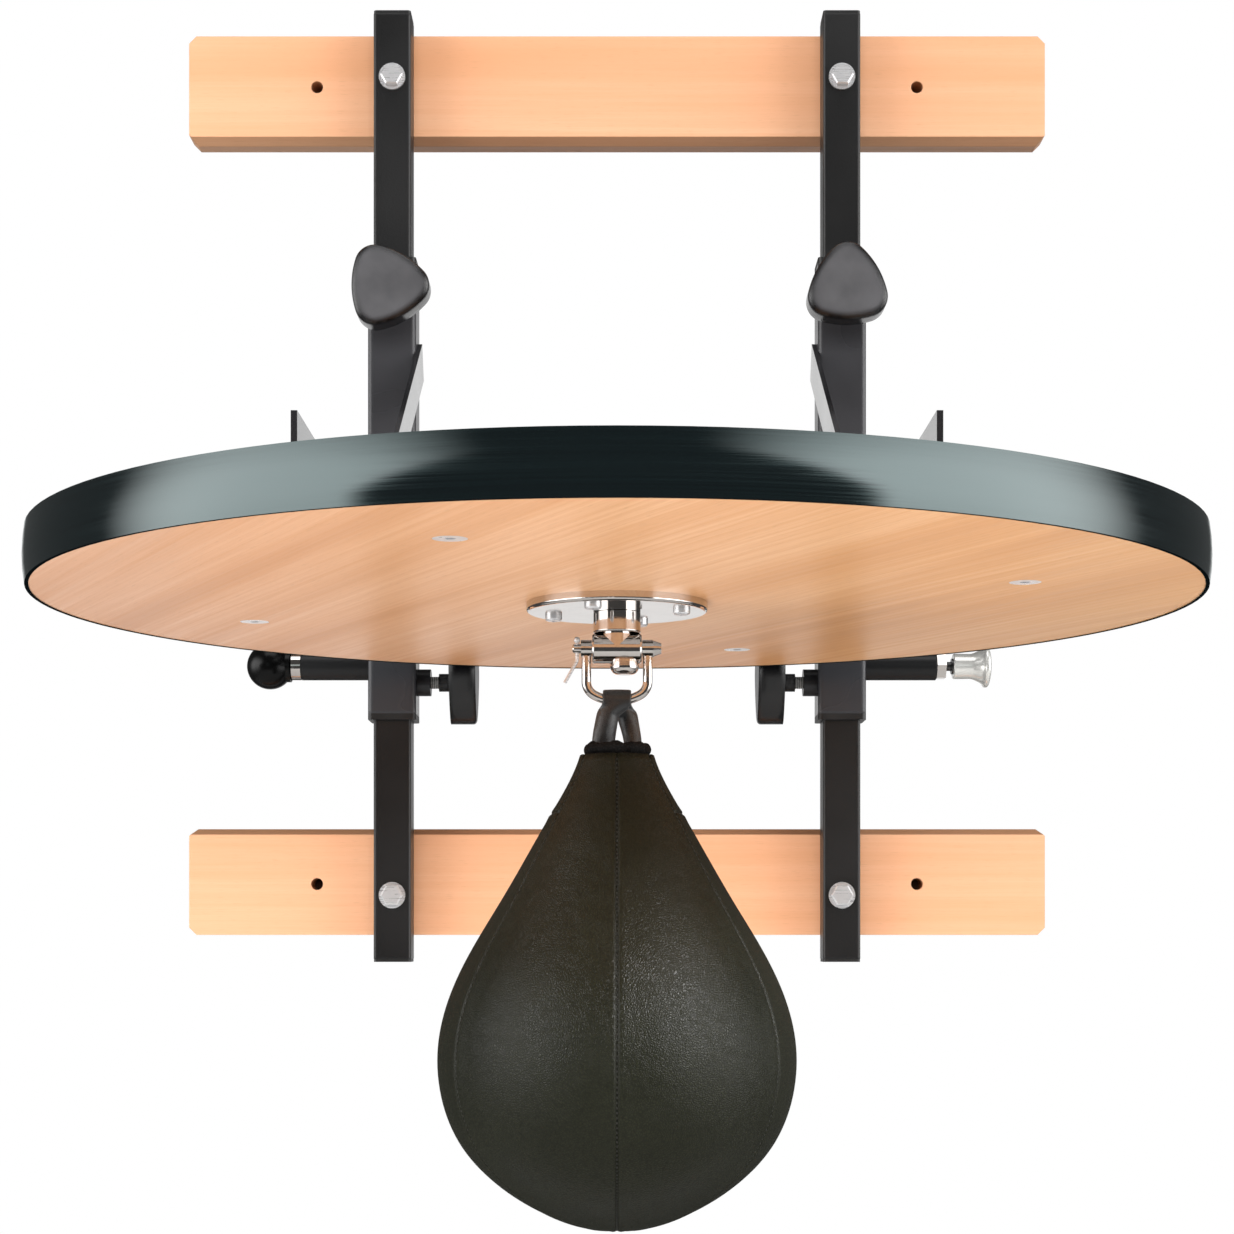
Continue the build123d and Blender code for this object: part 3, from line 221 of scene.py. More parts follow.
def metal(name, colour, rough, scratch=0.05, tarnish=0.04, shine=1.0):
    """Bare or plated metal with fine level scratches and cloudy handling marks."""
    look = Look(name, colour, rough, metal=shine)
    lines = look.noise(look.mapped((40, 40, 900)), 1.0, 3, 0.6)
    cloud = look.noise(look.coords, 60, 4, 0.6)
    handled = tuple(c * 0.8 for c in colour)
    look.colour(look.blend(look.span(cloud, 0.45, 0.8, 0.0, 0.5), colour, handled))
    scratched = look.span(lines, 0.35, 0.7, rough, rough + scratch)
    look.rough(look.math("ADD", scratched, look.span(cloud, 0.5, 0.8, 0, tarnish)))
    look.bump(lines, 0.04 * MM, 0.15)
    return look.m


def threaded(name, along):
    """Zinc-plated screw thread: ridges one pitch apart across the given axis, with painted shade in
    the roots.
    """
    pitch = 1.25 * MM
    look = Look(name, (0.5, 0.5, 0.49), 0.3, metal=0.5)
    place = look.component(look.coords, along)
    phase = look.math("FRACT", look.math("MULTIPLY", place, 1 / pitch))
    ridge = look.math("PINGPONG", phase, 0.5)
    grime = look.noise(look.coords, 300, 3, 0.6)
    # Painted shade: the thread's roots are coloured dark and its crests pale.
    look.colour(look.ramp(ridge, [(0.08, (0.2, 0.2, 0.19)), (0.5, (0.78, 0.77, 0.74))]))
    look.rough(look.span(grime, 0.3, 0.7, 0.25, 0.42))
    look.bump(ridge, 0.9 * MM, 0.9)
    return look.m


def plastic(name, colour, rough, grain=1400, depth=0.1 * MM, shine=0.45):
    """Moulded plastic or rubber, slightly paler and rougher where it's worn."""
    look = Look(name, colour, rough, specular=shine)
    fine = look.noise(look.coords, grain, 2, 0.5)
    wear = look.noise(look.coords, 38, 4, 0.6)
    worn = tuple(c * 1.8 + 0.003 for c in colour)
    look.colour(look.blend(look.span(wear, 0.5, 0.8, 0, 0.5), colour, worn))
    look.rough(look.span(wear, 0.3, 0.7, rough - 0.05, rough + 0.08))
    look.bump(fine, depth, 0.35)
    return look.m


def knob_look(name, facing):
    """Satin charcoal on the face that looks along facing; the rounded edge glossy and painted near
    black as shade.
    """
    look = Look(name, (0.03, 0.03, 0.032), 0.3, specular=0.5, coat=0.2, coat_rough=0.15)
    look.round_edges(7 * MM)
    square = look.add("VectorMath", {0: look.normal, 1: facing}, operation="DOT_PRODUCT")
    face = look.span(look.math("ABSOLUTE", square.outputs["Value"]), 0.955, 0.997, 0.0, 1.0)
    grain = look.noise(look.coords, 1700, 2, 0.5)
    cloud = look.noise(look.coords, 45, 3, 0.5)
    satin = look.blend(look.span(cloud, 0.35, 0.7, 0, 1), (0.068, 0.068, 0.073), (0.1, 0.1, 0.107))
    # Painted shade: the rounded edge is coloured near black, far darker than the face.
    look.colour(look.blend(face, (0.003, 0.003, 0.0035), satin))
    uneven = look.span(cloud, 0.3, 0.7, 0.17, 0.25)
    look.rough(look.math("ADD", look.math("MULTIPLY", face, 0.3), uneven))
    look.bump(grain, 0.12 * MM, 0.3)
    return look.m


def edge_gloss(name):
    """Gloss black edge band, faintly teal, with level streaks and no gloss on level faces."""
    look = Look(name, (0.002, 0.01, 0.013), 0.1, specular=0.6, coat=0.5, coat_rough=0.06)
    look.set(look.bsdf, "Specular Tint", (0.8, 1, 1, 1))
    look.set(look.bsdf, "Coat Tint", (0.86, 1, 1, 1))
    streak = look.noise(look.mapped((4, 4, 1500)), 1.0, 3, 0.6)
    smear = look.noise(look.mapped((6, 6, 90)), 1.0, 4, 0.6)
    streaked = look.span(streak, 0.4, 0.8, 0, 0.7)
    look.colour(look.blend(streaked, (0.0025, 0.004, 0.0046), (0.004, 0.008, 0.009)))
    dull = look.span(streak, 0.35, 0.75, 0.07, 0.17)
    look.rough(look.math("ADD", dull, look.span(smear, 0.4, 0.7, 0, 0.08)))
    level = look.squareness("Z")
    look.set(look.bsdf, "Coat Weight", look.span(level, 0.3, 0.8, 0.5, 0.0))
    look.set(look.bsdf, "Specular IOR Level", look.span(level, 0.3, 0.8, 0.6, 0.0))
    look.bump(streak, 0.08 * MM, 0.35).bump(smear, 0.8 * MM, 0.12)
    return look.m


def leather(name, colour, crevice_shade, rough, cell, depth, sheen=0.12, shine=0.16):
    """Grained synthetic leather: small pebbles with painted shade between them, fine creases and a
    matter look at the sides.
    """
    look = Look(name, colour, rough, specular=shine, sheen=sheen)
    warp = look.noise(look.coords, 120, 3, 0.5)
    pull = look.add("VectorMath", {0: warp, 3: 4 * MM}, operation="SCALE").outputs[0]
    bent = look.add("VectorMath", {0: look.coords, 1: pull}, operation="ADD").outputs[0]
    cells = look.add("TexVoronoi", {"Vector": bent, "Scale": cell}, feature="DISTANCE_TO_EDGE")
    pebble = cells.outputs["Distance"]
    round_pebble = look.span(pebble, 0.0, 0.28, 0, 1)
    fine = look.noise(look.coords, 2600, 2, 0.5)
    patch = look.noise(look.coords, 26, 4, 0.6)
    paler = tuple(c * 1.35 for c in colour)
    base = look.blend(look.span(patch, 0.35, 0.7, 0, 1), colour, paler)
    # Painted shade: the crevices between the pebbles are coloured darker.
    look.colour(look.blend(round_pebble, crevice_shade, base))
    uneven = look.span(patch, 0.3, 0.7, rough - 0.05, rough + 0.06)
    surface = look.math("ADD", uneven, look.span(pebble, 0, 0.2, 0.08, 0))
    turned = look.add("LayerWeight", {"Blend": 0.5}).outputs["Facing"]
    look.rough(look.math("ADD", surface, look.span(turned, 0.45, 0.85, 0, 0.4)))
    look.bump(round_pebble, depth, 0.5).bump(fine, 0.12 * MM, 0.25)
    return look.m


SATIN_BLACK = (0.014, 0.014, 0.0155)
# Each pair is the leather's colour and the darker colour painted as shade between its pebbles.
BAG_COLOURS = (0.0094, 0.01, 0.0052), (0.0045, 0.0047, 0.0026)
STRAP_COLOURS = (0.017, 0.018, 0.019), (0.006, 0.0065, 0.007)
TORN_COLOURS = (0.006, 0.006, 0.006), (0.002, 0.002, 0.002)
MAT = {
    "plank_wood": wood(
        "plank_wood", 0, (0.9, 0.52, 0.315), (0.88, 0.47, 0.27), (0.8, 0.39, 0.2), 0.4
    ),
    "board_wood": wood(
        "board_wood",
        63,
        (0.8, 0.46, 0.27),
        (0.73, 0.385, 0.2),
        (0.62, 0.295, 0.135),
        0.5,
        # painted light: the board's right side brighter and warmer, its left side cooler
        painted_side_light=((1.0, 1.04, 1.17), (1.13, 1.11, 0.86)),
    ),
    "edge_black": edge_gloss("edge_black"),
    "rail_steel": coated_steel("rail_steel", (0.008, 0.008, 0.0082), 0.4, 1.8 * MM),
    "black_steel": coated_steel("black_steel", SATIN_BLACK, 0.33, 0.6 * MM),
    "sleeve_steel": coated_steel(
        "sleeve_steel", (0.036, 0.0362, 0.04), 0.27, 3 * MM, orange=0.2 * MM
    ),
    "brace_steel": coated_steel("brace_steel", SATIN_BLACK, 0.18, 0.4 * MM, coat=0.7),
    "barrel_steel": coated_steel("barrel_steel", (0.005, 0.005, 0.0055), 0.42, 0.6 * MM),
    "zinc_steel": metal("zinc_steel", (0.78, 0.78, 0.79), 0.24, 0.12, shine=0.6),
    "black_nylon": plastic("black_nylon", (0.012, 0.012, 0.012), 0.45),
    "ball_plastic": plastic(
        "ball_plastic", (0.002, 0.002, 0.002), 0.26, 1200, 0.04 * MM, shine=0.2
    ),
    "knob_front": knob_look("knob_front", (0, 1, 0)),
    "knob_side": knob_look("knob_side", (1, 0, 0)),
    "chrome": metal("chrome", (0.7, 0.66, 0.63), 0.07, 0.04, 0.03),
    "satin_nickel": metal("satin_nickel", (0.86, 0.85, 0.81), 0.2, 0.08, shine=0.55),
    "dark_steel": metal("dark_steel", (0.1, 0.1, 0.1), 0.3, 0.1),
    "spring_steel": metal("spring_steel", (0.45, 0.45, 0.47), 0.28, 0.1),
    "bronze": metal("bronze", (0.62, 0.38, 0.17), 0.32, 0.1),
    "bag_leather": leather("bag_leather", *BAG_COLOURS, 0.34, 820, 0.22 * MM, sheen=0.0),
    "strap_leather": leather("strap_leather", *STRAP_COLOURS, 0.27, 1200, 0.12 * MM, shine=0.6),
    "torn_leather": leather("torn_leather", *TORN_COLOURS, 0.75, 600, 0.6 * MM, sheen=0.0),
    "thread": plastic("thread", (0.022, 0.022, 0.019), 0.6, 3000, 0.2 * MM),
    "bladder_rubber": plastic("bladder_rubber", (0.02, 0.017, 0.014), 0.55),
    "stud_y": threaded("stud_y", "Y"),
    "stud_x": threaded("stud_x", "X"),
}

slot_of = {s["node"]: s["material_slot"] for s in frame["record"]["subparts"]}
special = {
    "left_ball_knob": "ball_plastic",
    "right_flared_knob": "satin_nickel",
    "swivel_screws": "zinc_steel",
}
for side in ("left", "right"):
    for piece, look_name in (
        ("rail", "rail_steel"),
        ("sleeve", "sleeve_steel"),
        ("arm", "brace_steel"),
        ("brace", "brace_steel"),
        ("pin_barrel", "barrel_steel"),
        ("front_knob", "knob_front"),
        ("side_knob", "knob_side"),
        ("front_stud", "stud_y"),
        ("side_stud", "stud_x"),
    ):
        special[f"{side}_{piece}"] = look_name
for name, obj in nodes.items():
    obj.data.materials.clear()
    obj.data.materials.append(MAT[special.get(name) or slot_of[name]])


# ------------------------------------------------------------------ soft goods
CLOTH_FRAMES = 20


def mesh_object(name, verts, faces, material, body):
    """A smooth-shaded mesh of the scene's own that moves with a body."""
    mesh = bpy.data.meshes.new(name)
    mesh.from_pydata([tuple(v) for v in verts], [], faces)
    mesh.update()
    for polygon in mesh.polygons:
        polygon.use_smooth = True
    obj = bpy.data.objects.new(name, mesh)
    scene.collection.objects.link(obj)
    obj.data.materials.append(MAT[material])
    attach(obj, body)
    return obj


def simulate(obj, held, pressure, cap, stiffness=40.0):
    """Runs a short cloth simulation and keeps at most cap metres of the movement it gives.

    held maps a vertex to how firmly it's held."""
    rest = np.array([v.co for v in obj.data.vertices], float)
    group = obj.vertex_groups.new(name="held")
    for index, weight in held.items():
        group.add([index], weight, "REPLACE")
    cloth = obj.modifiers.new("cloth", "CLOTH")
    settings = cloth.settings
    settings.quality = 6
    settings.mass = 0.4
    settings.tension_stiffness = stiffness
    settings.compression_stiffness = stiffness
    settings.shear_stiffness = stiffness / 2
    settings.bending_stiffness = 2.0
    settings.use_pressure = True
    settings.uniform_pressure_force = pressure
    settings.effector_weights.gravity = 0
    settings.vertex_group_mass = "held"
    cloth.collision_settings.use_collision = False
    cloth.point_cache.frame_start = 1
    cloth.point_cache.frame_end = CLOTH_FRAMES
    for number in range(1, CLOTH_FRAMES + 1):
        scene.frame_set(number)
    shaped = obj.evaluated_get(bpy.context.evaluated_depsgraph_get())
    moved = np.array([v.co for v in shaped.data.vertices], float) - rest
    length = np.linalg.norm(moved, axis=1, keepdims=True)
    moved *= np.minimum(1, cap / np.maximum(length, 1e-9))
    obj.modifiers.remove(cloth)
    obj.data.vertices.foreach_set("co", (rest + moved).astype(np.float32).ravel())
    obj.data.update()
    scene.frame_set(1)


def thicken(obj, wall):
    """Gives a skin a wall of so many metres, inwards."""
    solid = obj.modifiers.new("wall", "SOLIDIFY")
    solid.thickness = wall
    solid.offset = -1


def subdivide(obj):
    smooth = obj.modifiers.new("smooth", "SUBSURF")
    smooth.levels = 1
    smooth.render_levels = 1


def beside_axis(radius, turn, height):
    """A point round the bag's axis, from mm and radians. Turn 0 is right of it."""
    x, y = radius * MM * math.cos(turn), radius * MM * math.sin(turn)
    return Vector((x, AXIS_Y + y, height * MM))


def ease_in_out(share):
    return share * share * (3 - 2 * share)


# The bag's outline in mm: depths below its top, the radii there, and the slopes at both ends.
BAG_TOP = -209.5
DEPTH_KEYS = [0, 30, 76, 118, 155, 206, 226, 241, 251]
RADIUS_KEYS = [19.6, 34.4, 60.8, 84.6, 94.6, 82.0, 63.4, 39.6, 0.0]
TOP_SLOPE = (0.958, 0.287)
FOOT_SLOPE = (0.0, -1.0)
VALVE_RADIUS = 4.7
SPLINE_STEPS = 60
FOOT_SAMPLES = 200  # the last spline samples, where the radius only falls
ROWS = 88

PANEL = 60  # degrees
SEAMS = range(0, 360, PANEL)  # angles from the front seam
SIDE_STEPS = [0.0, 0.45, 0.9, 1.6, 2.8, 5.0]  # mm from a seam to the columns beside it
PANEL_COLUMNS = 12
CROWDED_RADIUS = 16.0  # below this radius the columns beside a seam draw together
SIDE_PANELS = ((60, 120), (240, 300))  # the panels with a short cross seam
PATCH_SEAM = 31.0  # depth of the cross seams
PATCH_STEPS = np.array([-1.6, -0.8, -0.35, 0, 0.35, 0.8, 1.6])  # mm to the rows beside them


def bag_outline():
    """Depth, radius and distance from the cross seam down the side in mm, in even steps.

    A cubic spline through the keys, with close steps at the cross seam."""
    keys = np.stack([DEPTH_KEYS, RADIUS_KEYS], 1).astype(float)
    gap = np.linalg.norm(np.diff(keys, axis=0), axis=1)
    count = len(keys)
    system = np.eye(count)
    slopes = np.zeros((count, 2))
    slopes[0] = TOP_SLOPE
    slopes[-1] = FOOT_SLOPE
    for k in range(1, count - 1):
        system[k, k - 1 : k + 2] = (gap[k], 2 * (gap[k - 1] + gap[k]), gap[k - 1])
        before = (keys[k] - keys[k - 1]) / gap[k - 1]
        after = (keys[k + 1] - keys[k]) / gap[k]
        slopes[k] = 3 * (gap[k] * before + gap[k - 1] * after)
    slopes = np.linalg.solve(system, slopes)
    t = np.linspace(0, 1, SPLINE_STEPS)[:, None]
    pieces = [
        (1 + 2 * t) * (1 - t) ** 2 * keys[k]
        + t * (1 - t) ** 2 * gap[k] * slopes[k]
        + t * t * (3 - 2 * t) * keys[k + 1]
        + t * t * (t - 1) * gap[k] * slopes[k + 1]
        for k in range(count - 1)
    ]
    depth, radius = np.concatenate(pieces).T
    run = run_along(depth, radius)
    last = np.interp(VALVE_RADIUS, radius[::-1][:FOOT_SAMPLES], run[::-1][:FOOT_SAMPLES])
    even = np.linspace(0, last, ROWS)
    seam_run = np.interp(PATCH_SEAM, depth, run)
    close = seam_run + PATCH_STEPS
    keep = even[(even < close[0] - 1) | (even > close[-1] + 1)]
    places = np.sort(np.concatenate([keep, close]))
    return np.interp(places, run, depth), np.interp(places, run, radius), places - seam_run


def run_along(depth, radius):
    """Length of the outline from its top to each of its points."""
    return np.concatenate([[0], np.cumsum(np.hypot(np.diff(depth), np.diff(radius)))])


def panel_angles(radius):
    """Column angles round one ring: close together beside each seam, even across the panels."""
    shrink = min(1.0, radius / CROWDED_RADIUS)
    near = [math.degrees(step * shrink / radius) for step in SIDE_STEPS]
    middle = np.linspace(near[-1], PANEL - near[-1], PANEL_COLUMNS)[1:-1]
    one = near + list(middle) + [PANEL - a for a in reversed(near[1:])]
    return [seam + a for seam in SEAMS for a in one]


def bell(distance, width):
    return math.exp(-((distance / width) ** 2))


def seam_offset(distance):
    """How far the skin stands off its outline beside a seam, in mm: a groove and a shoulder."""
    groove, groove_width = -0.9, 0.55
    shoulder, shoulder_place, shoulder_width = 0.4, 2.4, 1.5
    return groove * bell(distance, groove_width) + shoulder * bell(
        distance - shoulder_place, shoulder_width
    )


depths, radii, from_patch = bag_outline()
outline_normal = np.stack([np.gradient(depths), -np.gradient(radii)], 1)
outline_normal /= np.linalg.norm(outline_normal, axis=1, keepdims=True)
bag_verts, bag_places = [], []
for row, (depth, radius) in enumerate(zip(depths, radii)):
    for angle in panel_angles(radius):
        past_seam = angle % PANEL
        from_seam = math.radians(min(past_seam, PANEL - past_seam)) * radius
        bag_places.append((row, angle, from_seam))
        bag_verts.append(beside_axis(radius, math.radians(angle - 90), BAG_TOP - depth))
per_ring = len(bag_verts) // len(depths)
bag_faces = []
for row in range(len(depths) - 1):
    for column in range(per_ring):
        a = row * per_ring + column
        b = row * per_ring + (column + 1) % per_ring
        bag_faces.append((a, a + per_ring, b + per_ring, b))
HELD_ROWS = 2  # at the top and at the foot
SEAM_REACH, SEAM_HOLD = 2.0, 0.9  # the seams are held firmly, so that the panels swell between them
bag_held = {}
for index, (row, _, from_seam) in enumerate(bag_places):
    if row < HELD_ROWS or row >= len(depths) - HELD_ROWS:
        bag_held[index] = 1.0
    elif from_seam < SEAM_REACH:
        bag_held[index] = SEAM_HOLD
bag = mesh_object("bag_cover_skin", bag_verts, bag_faces, "bag_leather", "speed_bag")
simulate(bag, bag_held, pressure=4.0, cap=1.3 * MM)


def skin_point(row, angle, stand_off):
    """A point stand_off mm outside the bag's outline, at an angle from the front seam."""
    radius = radii[row] + outline_normal[row][0] * stand_off
    height = BAG_TOP - depths[row] - outline_normal[row][1] * stand_off
    return beside_axis(radius, math.radians(angle - 90), height)


PATCH_DEPTH = 0.8  # of a panel seam's
FADE_RADIUS = 14.0  # the grooves fade out towards the foot from here
for index, (row, angle, from_seam) in enumerate(bag_places):
    shift = seam_offset(from_seam)
    if any(first <= angle <= last for first, last in SIDE_PANELS):
        shift += PATCH_DEPTH * seam_offset(abs(from_patch[row]))
    fade = min(1.0, radii[row] / FADE_RADIUS)
    direction = skin_point(row, angle, 1.0) - skin_point(row, angle, 0.0)
    bag.data.vertices[index].co += direction * shift * fade
bag.data.update()
thicken(bag, 2.0 * MM)
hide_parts("bag_cover")

STITCH_SIDES = 6
STITCH_PROFILE = ((0, 0.35), (0.18, 1), (0.82, 1), (1, 0.35))  # share of the length, of the radius
stitch_verts, stitch_faces = [], []


def add_stitch(start, end, radius):
    """Adds one short thread stitch between two points."""
    along = (end - start).normalized()
    side = along.orthogonal().normalized()
    other = along.cross(side)
    base = len(stitch_verts)
    for share, size in STITCH_PROFILE:
        centre = start.lerp(end, share)
        for k in range(STITCH_SIDES):
            t = 2 * math.pi * k / STITCH_SIDES
            spoke = side * math.cos(t) + other * math.sin(t)
            stitch_verts.append(centre + spoke * radius * size)
    last = base + (len(STITCH_PROFILE) - 1) * STITCH_SIDES
    for ring in range(base, last, STITCH_SIDES):
        for k in range(STITCH_SIDES):
            a = ring + k
            b = ring + (k + 1) % STITCH_SIDES
            stitch_faces.append((a, b, b + STITCH_SIDES, a + STITCH_SIDES))
    stitch_faces.append(tuple(base + k for k in reversed(range(STITCH_SIDES))))
    stitch_faces.append(tuple(last + k for k in range(STITCH_SIDES)))


# Stitches along the panel seams, in mm down the outline, then across the side panels, in degrees.
FIRST_STITCH, LAST_STITCH = 2.5, 6  # distance from the bag's top and from its foot
STITCH_PITCH, STITCH_LENGTH, STITCH_DEPTH, STITCH_RADIUS = 2.6, 1.3, -0.45, 0.38
CROSS_MARGIN, CROSS_PITCH, CROSS_LENGTH, CROSS_DEPTH, CROSS_RADIUS = 4, 5.0, 3.0, -0.55, 0.34
ring_run = run_along(depths, radii)
for seam in SEAMS:
    for start in np.arange(FIRST_STITCH, ring_run[-1] - LAST_STITCH, STITCH_PITCH):
        ends = []
        for run in (start, start + STITCH_LENGTH):
            row = np.interp(run, ring_run, np.arange(len(ring_run)))
            above = skin_point(int(row), seam, STITCH_DEPTH)
            below = skin_point(min(int(row) + 1, len(radii) - 1), seam, STITCH_DEPTH)
            ends.append(above.lerp(below, row - int(row)))
        add_stitch(*ends, STITCH_RADIUS * MM)
patch_row = int(np.argmin(abs(from_patch)))
for first, last in SIDE_PANELS:
    for angle in np.arange(first + CROSS_MARGIN, last - CROSS_MARGIN, CROSS_PITCH):
        start = skin_point(patch_row, angle, CROSS_DEPTH)
        end = skin_point(patch_row, angle + CROSS_LENGTH, CROSS_DEPTH)
        add_stitch(start, end, CROSS_RADIUS * MM)
stitches = mesh_object("bag_stitches", stitch_verts, stitch_faces, "thread", "speed_bag")

BOW_Z = -180.6 * MM  # middle of the shackle's bow
STRAP_REACH = 4.4 * MM  # from the bow's middle to the strap
STRAP_WIDTH = 15.0 * MM
STRAP_COLUMNS = 11
WRAP_STEPS, WRAP_ANGLE = 10, 100  # over the bow
DROP_STEPS, DROP = 20, 25.0 * MM  # down to the bag's mouth
STRAP_FREE_FROM, STRAP_FREE_TO = 8, 3  # rows held at the bow and in the mouth
FLAT_CURL, FOLD_CURL = 0.06, 1.7  # half angles of the strap's curl across its width
FOLD_BY = 0.3  # share of the drop over which the strap folds


def strap_leg(name, sign):
    """One half of the hanging strap: over the shackle's bow, then down to its own side.

    sign is 1 for the front half, -1 for the back one. The strap is a curled ribbon, eased by the
    cloth solver."""
    aside_early, aside_late, opening = (4.3, 1.5, 0.35) if sign > 0 else (4.8, 2.4, -0.6)
    path, curls, across, outward = [], [], [], []
    for k in range(WRAP_STEPS):
        t = math.radians(WRAP_ANGLE * k / (WRAP_STEPS - 1))
        y = AXIS_Y - sign * STRAP_REACH * math.sin(t)
        path.append(Vector((0, y, BOW_Z + STRAP_REACH * math.cos(t))))
        curls.append(FLAT_CURL)
        across.append((1, 0, 0))
        outward.append((0, -sign * math.sin(t), math.cos(t)))
    start = path[-1]
    for k in range(1, DROP_STEPS + 1):
        s = k / DROP_STEPS
        slow = ease_in_out(s)
        fold = ease_in_out(min(1.0, s / FOLD_BY))
        x = -sign * (aside_early * fold + aside_late * slow) * MM
        y = start.y - sign * (1.3 * math.sin(math.pi * s) - 1.4 * slow) * MM
        path.append(Vector((x, y, start.z - DROP * s)))
        curls.append(sign * (FLAT_CURL + fold * FOLD_CURL - opening * slow))
        across.append((1, 0.5 * slow * sign, 0))
        outward.append((-sign * 0.35 * fold, -sign, 0))
    verts, faces = [], []
    for point, curl, side, out in zip(path, curls, across, outward):
        side = Vector(side).normalized()
        out = Vector(out)
        out = (out - side * out.dot(side)).normalized()
        reach = STRAP_WIDTH / 2 / curl
        for k in range(STRAP_COLUMNS):
            turn = (2 * k / (STRAP_COLUMNS - 1) - 1) * curl
            verts.append(point + side * reach * math.sin(turn) - out * reach * (1 - math.cos(turn)))
    for row in range(len(path) - 1):
        for k in range(STRAP_COLUMNS - 1):
            a = row * STRAP_COLUMNS + k
            faces.append((a, a + 1, a + 1 + STRAP_COLUMNS, a + STRAP_COLUMNS))
    strap = mesh_object(name, verts, faces, "strap_leather", "speed_bag")
    free = range(STRAP_FREE_FROM, len(path) - STRAP_FREE_TO)
    held = {i: 1.0 for i in range(len(verts)) if i // STRAP_COLUMNS not in free}
    simulate(strap, held, pressure=0.6, cap=0.8 * MM)
    thicken(strap, 1.7 * MM)
    subdivide(strap)
    return strap


front_strap = strap_leg("bag_strap_front", 1)
back_strap = strap_leg("bag_strap_back", -1)
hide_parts("bag_loop")

# The frayed roll round the bag's mouth, rippled along its length.
waves = rng.uniform(0, 2 * math.pi, 6)
ROLL_TURNS, ROLL_SIDES = 96, 12
ROLL_CENTRE = Vector((0, AXIS_Y, -206.4 * MM))
ROLL_RADIUS, ROLL_HALF_WIDTH, ROLL_HALF_HEIGHT = 14.9 * MM, 3.0 * MM, 3.3 * MM
ROLL_HELD_BELOW = 2.5 * MM
FRAY, FRAY_HEIGHT, LEAST_FRAY = 0.16 * MM, 3 * MM, 0.35
roll_verts, roll_faces = [], []
for i in range(ROLL_TURNS):
    t = 2 * math.pi * i / ROLL_TURNS
    ripple = 1 + 0.16 * math.sin(7 * t + waves[0]) + 0.12 * math.sin(13 * t + waves[1])
    out = Vector((math.cos(t), math.sin(t), 0))
    for j in range(ROLL_SIDES):
        u = 2 * math.pi * j / ROLL_SIDES
        rise = Vector((0, 0, ROLL_HALF_HEIGHT * math.sin(u) * ripple))
        middle = ROLL_CENTRE + out * ROLL_RADIUS
        roll_verts.append(middle + rise + out * ROLL_HALF_WIDTH * math.cos(u) * ripple)
        a, b = i * ROLL_SIDES, (i + 1) % ROLL_TURNS * ROLL_SIDES
        beside = (j + 1) % ROLL_SIDES
        roll_faces.append((a + j, b + j, b + beside, a + beside))
roll = mesh_object("bag_collar_roll", roll_verts, roll_faces, "torn_leather", "speed_bag")
roll_held = {i: 1.0 for i, v in enumerate(roll_verts) if v.z < ROLL_CENTRE.z - ROLL_HELD_BELOW}
simulate(roll, roll_held, pressure=1.5, cap=0.6 * MM, stiffness=15)
for v in roll.data.vertices:
    lift = max(0.0, v.co.z - ROLL_CENTRE.z) / FRAY_HEIGHT
    v.co += Vector(rng.normal(0, FRAY, 3)) * min(1.0, LEAST_FRAY + lift)
subdivide(roll)
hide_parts("bag_collar")

# The creased leather that closes the mouth inside the roll.
MOUTH_COLUMNS = 48
MOUTH_MIDDLE = -207.5
MOUTH_RINGS = ((5.0, -207.2), (10.0, -206.9), (14.5, -207.4), (18.0, -210.2))  # radius, height
mouth_verts, mouth_faces = [beside_axis(0, 0, MOUTH_MIDDLE)], []
for ring, (radius, height) in enumerate(MOUTH_RINGS):
    for k in range(MOUTH_COLUMNS):
        t = 2 * math.pi * k / MOUTH_COLUMNS
        crease = 0.5 * math.sin(9 * t + waves[2] + ring) * (ring < 3)
        mouth_verts.append(beside_axis(radius, t, height + crease))
for k in range(MOUTH_COLUMNS):
    a, b = 1 + k, 1 + (k + 1) % MOUTH_COLUMNS
    mouth_faces.append((0, a, b))
    for ring in range(len(MOUTH_RINGS) - 1):
        mouth_faces.append((a, a + MOUTH_COLUMNS, b + MOUTH_COLUMNS, b))
        a, b = a + MOUTH_COLUMNS, b + MOUTH_COLUMNS
mouth = mesh_object("bag_mouth", mouth_verts, mouth_faces, "torn_leather", "speed_bag")
outer_rings = range(1 + 2 * MOUTH_COLUMNS, 1 + 4 * MOUTH_COLUMNS)
simulate(mouth, dict.fromkeys(outer_rings, 1.0), pressure=0.5, cap=0.6 * MM)


# ------------------------------------------------------------------ springs in the pin barrels
def live_spring(side):
    """A still copy of the pin spring's coil stands in for the CAD spring."""
    node = side + "_pin_spring"
    coil = bpy.data.objects.new(node + "_coil", nodes[node].data.copy())
    scene.collection.objects.link(coil)
    coil.matrix_world = nodes[node].matrix_world.copy()
    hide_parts(node)
    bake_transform(coil)


live_spring("left")
live_spring("right")


# ------------------------------------------------------------------ stage, light and camera
def stage_last_added(name, material):
    """Names the mesh just added and gives it a material."""
    item = bpy.context.object
    item.name = name
    item.data.materials.append(material)


floor_look = Look("pale_floor", (0.82, 0.82, 0.81), 0.7)
floor_look.bump(floor_look.noise(floor_look.coords, 40, 3, 0.5), 0.4 * MM, 0.2)
bpy.ops.mesh.primitive_plane_add(size=3.4, location=(0, -0.9, -1.25))
stage_last_added("floor", floor_look.m)
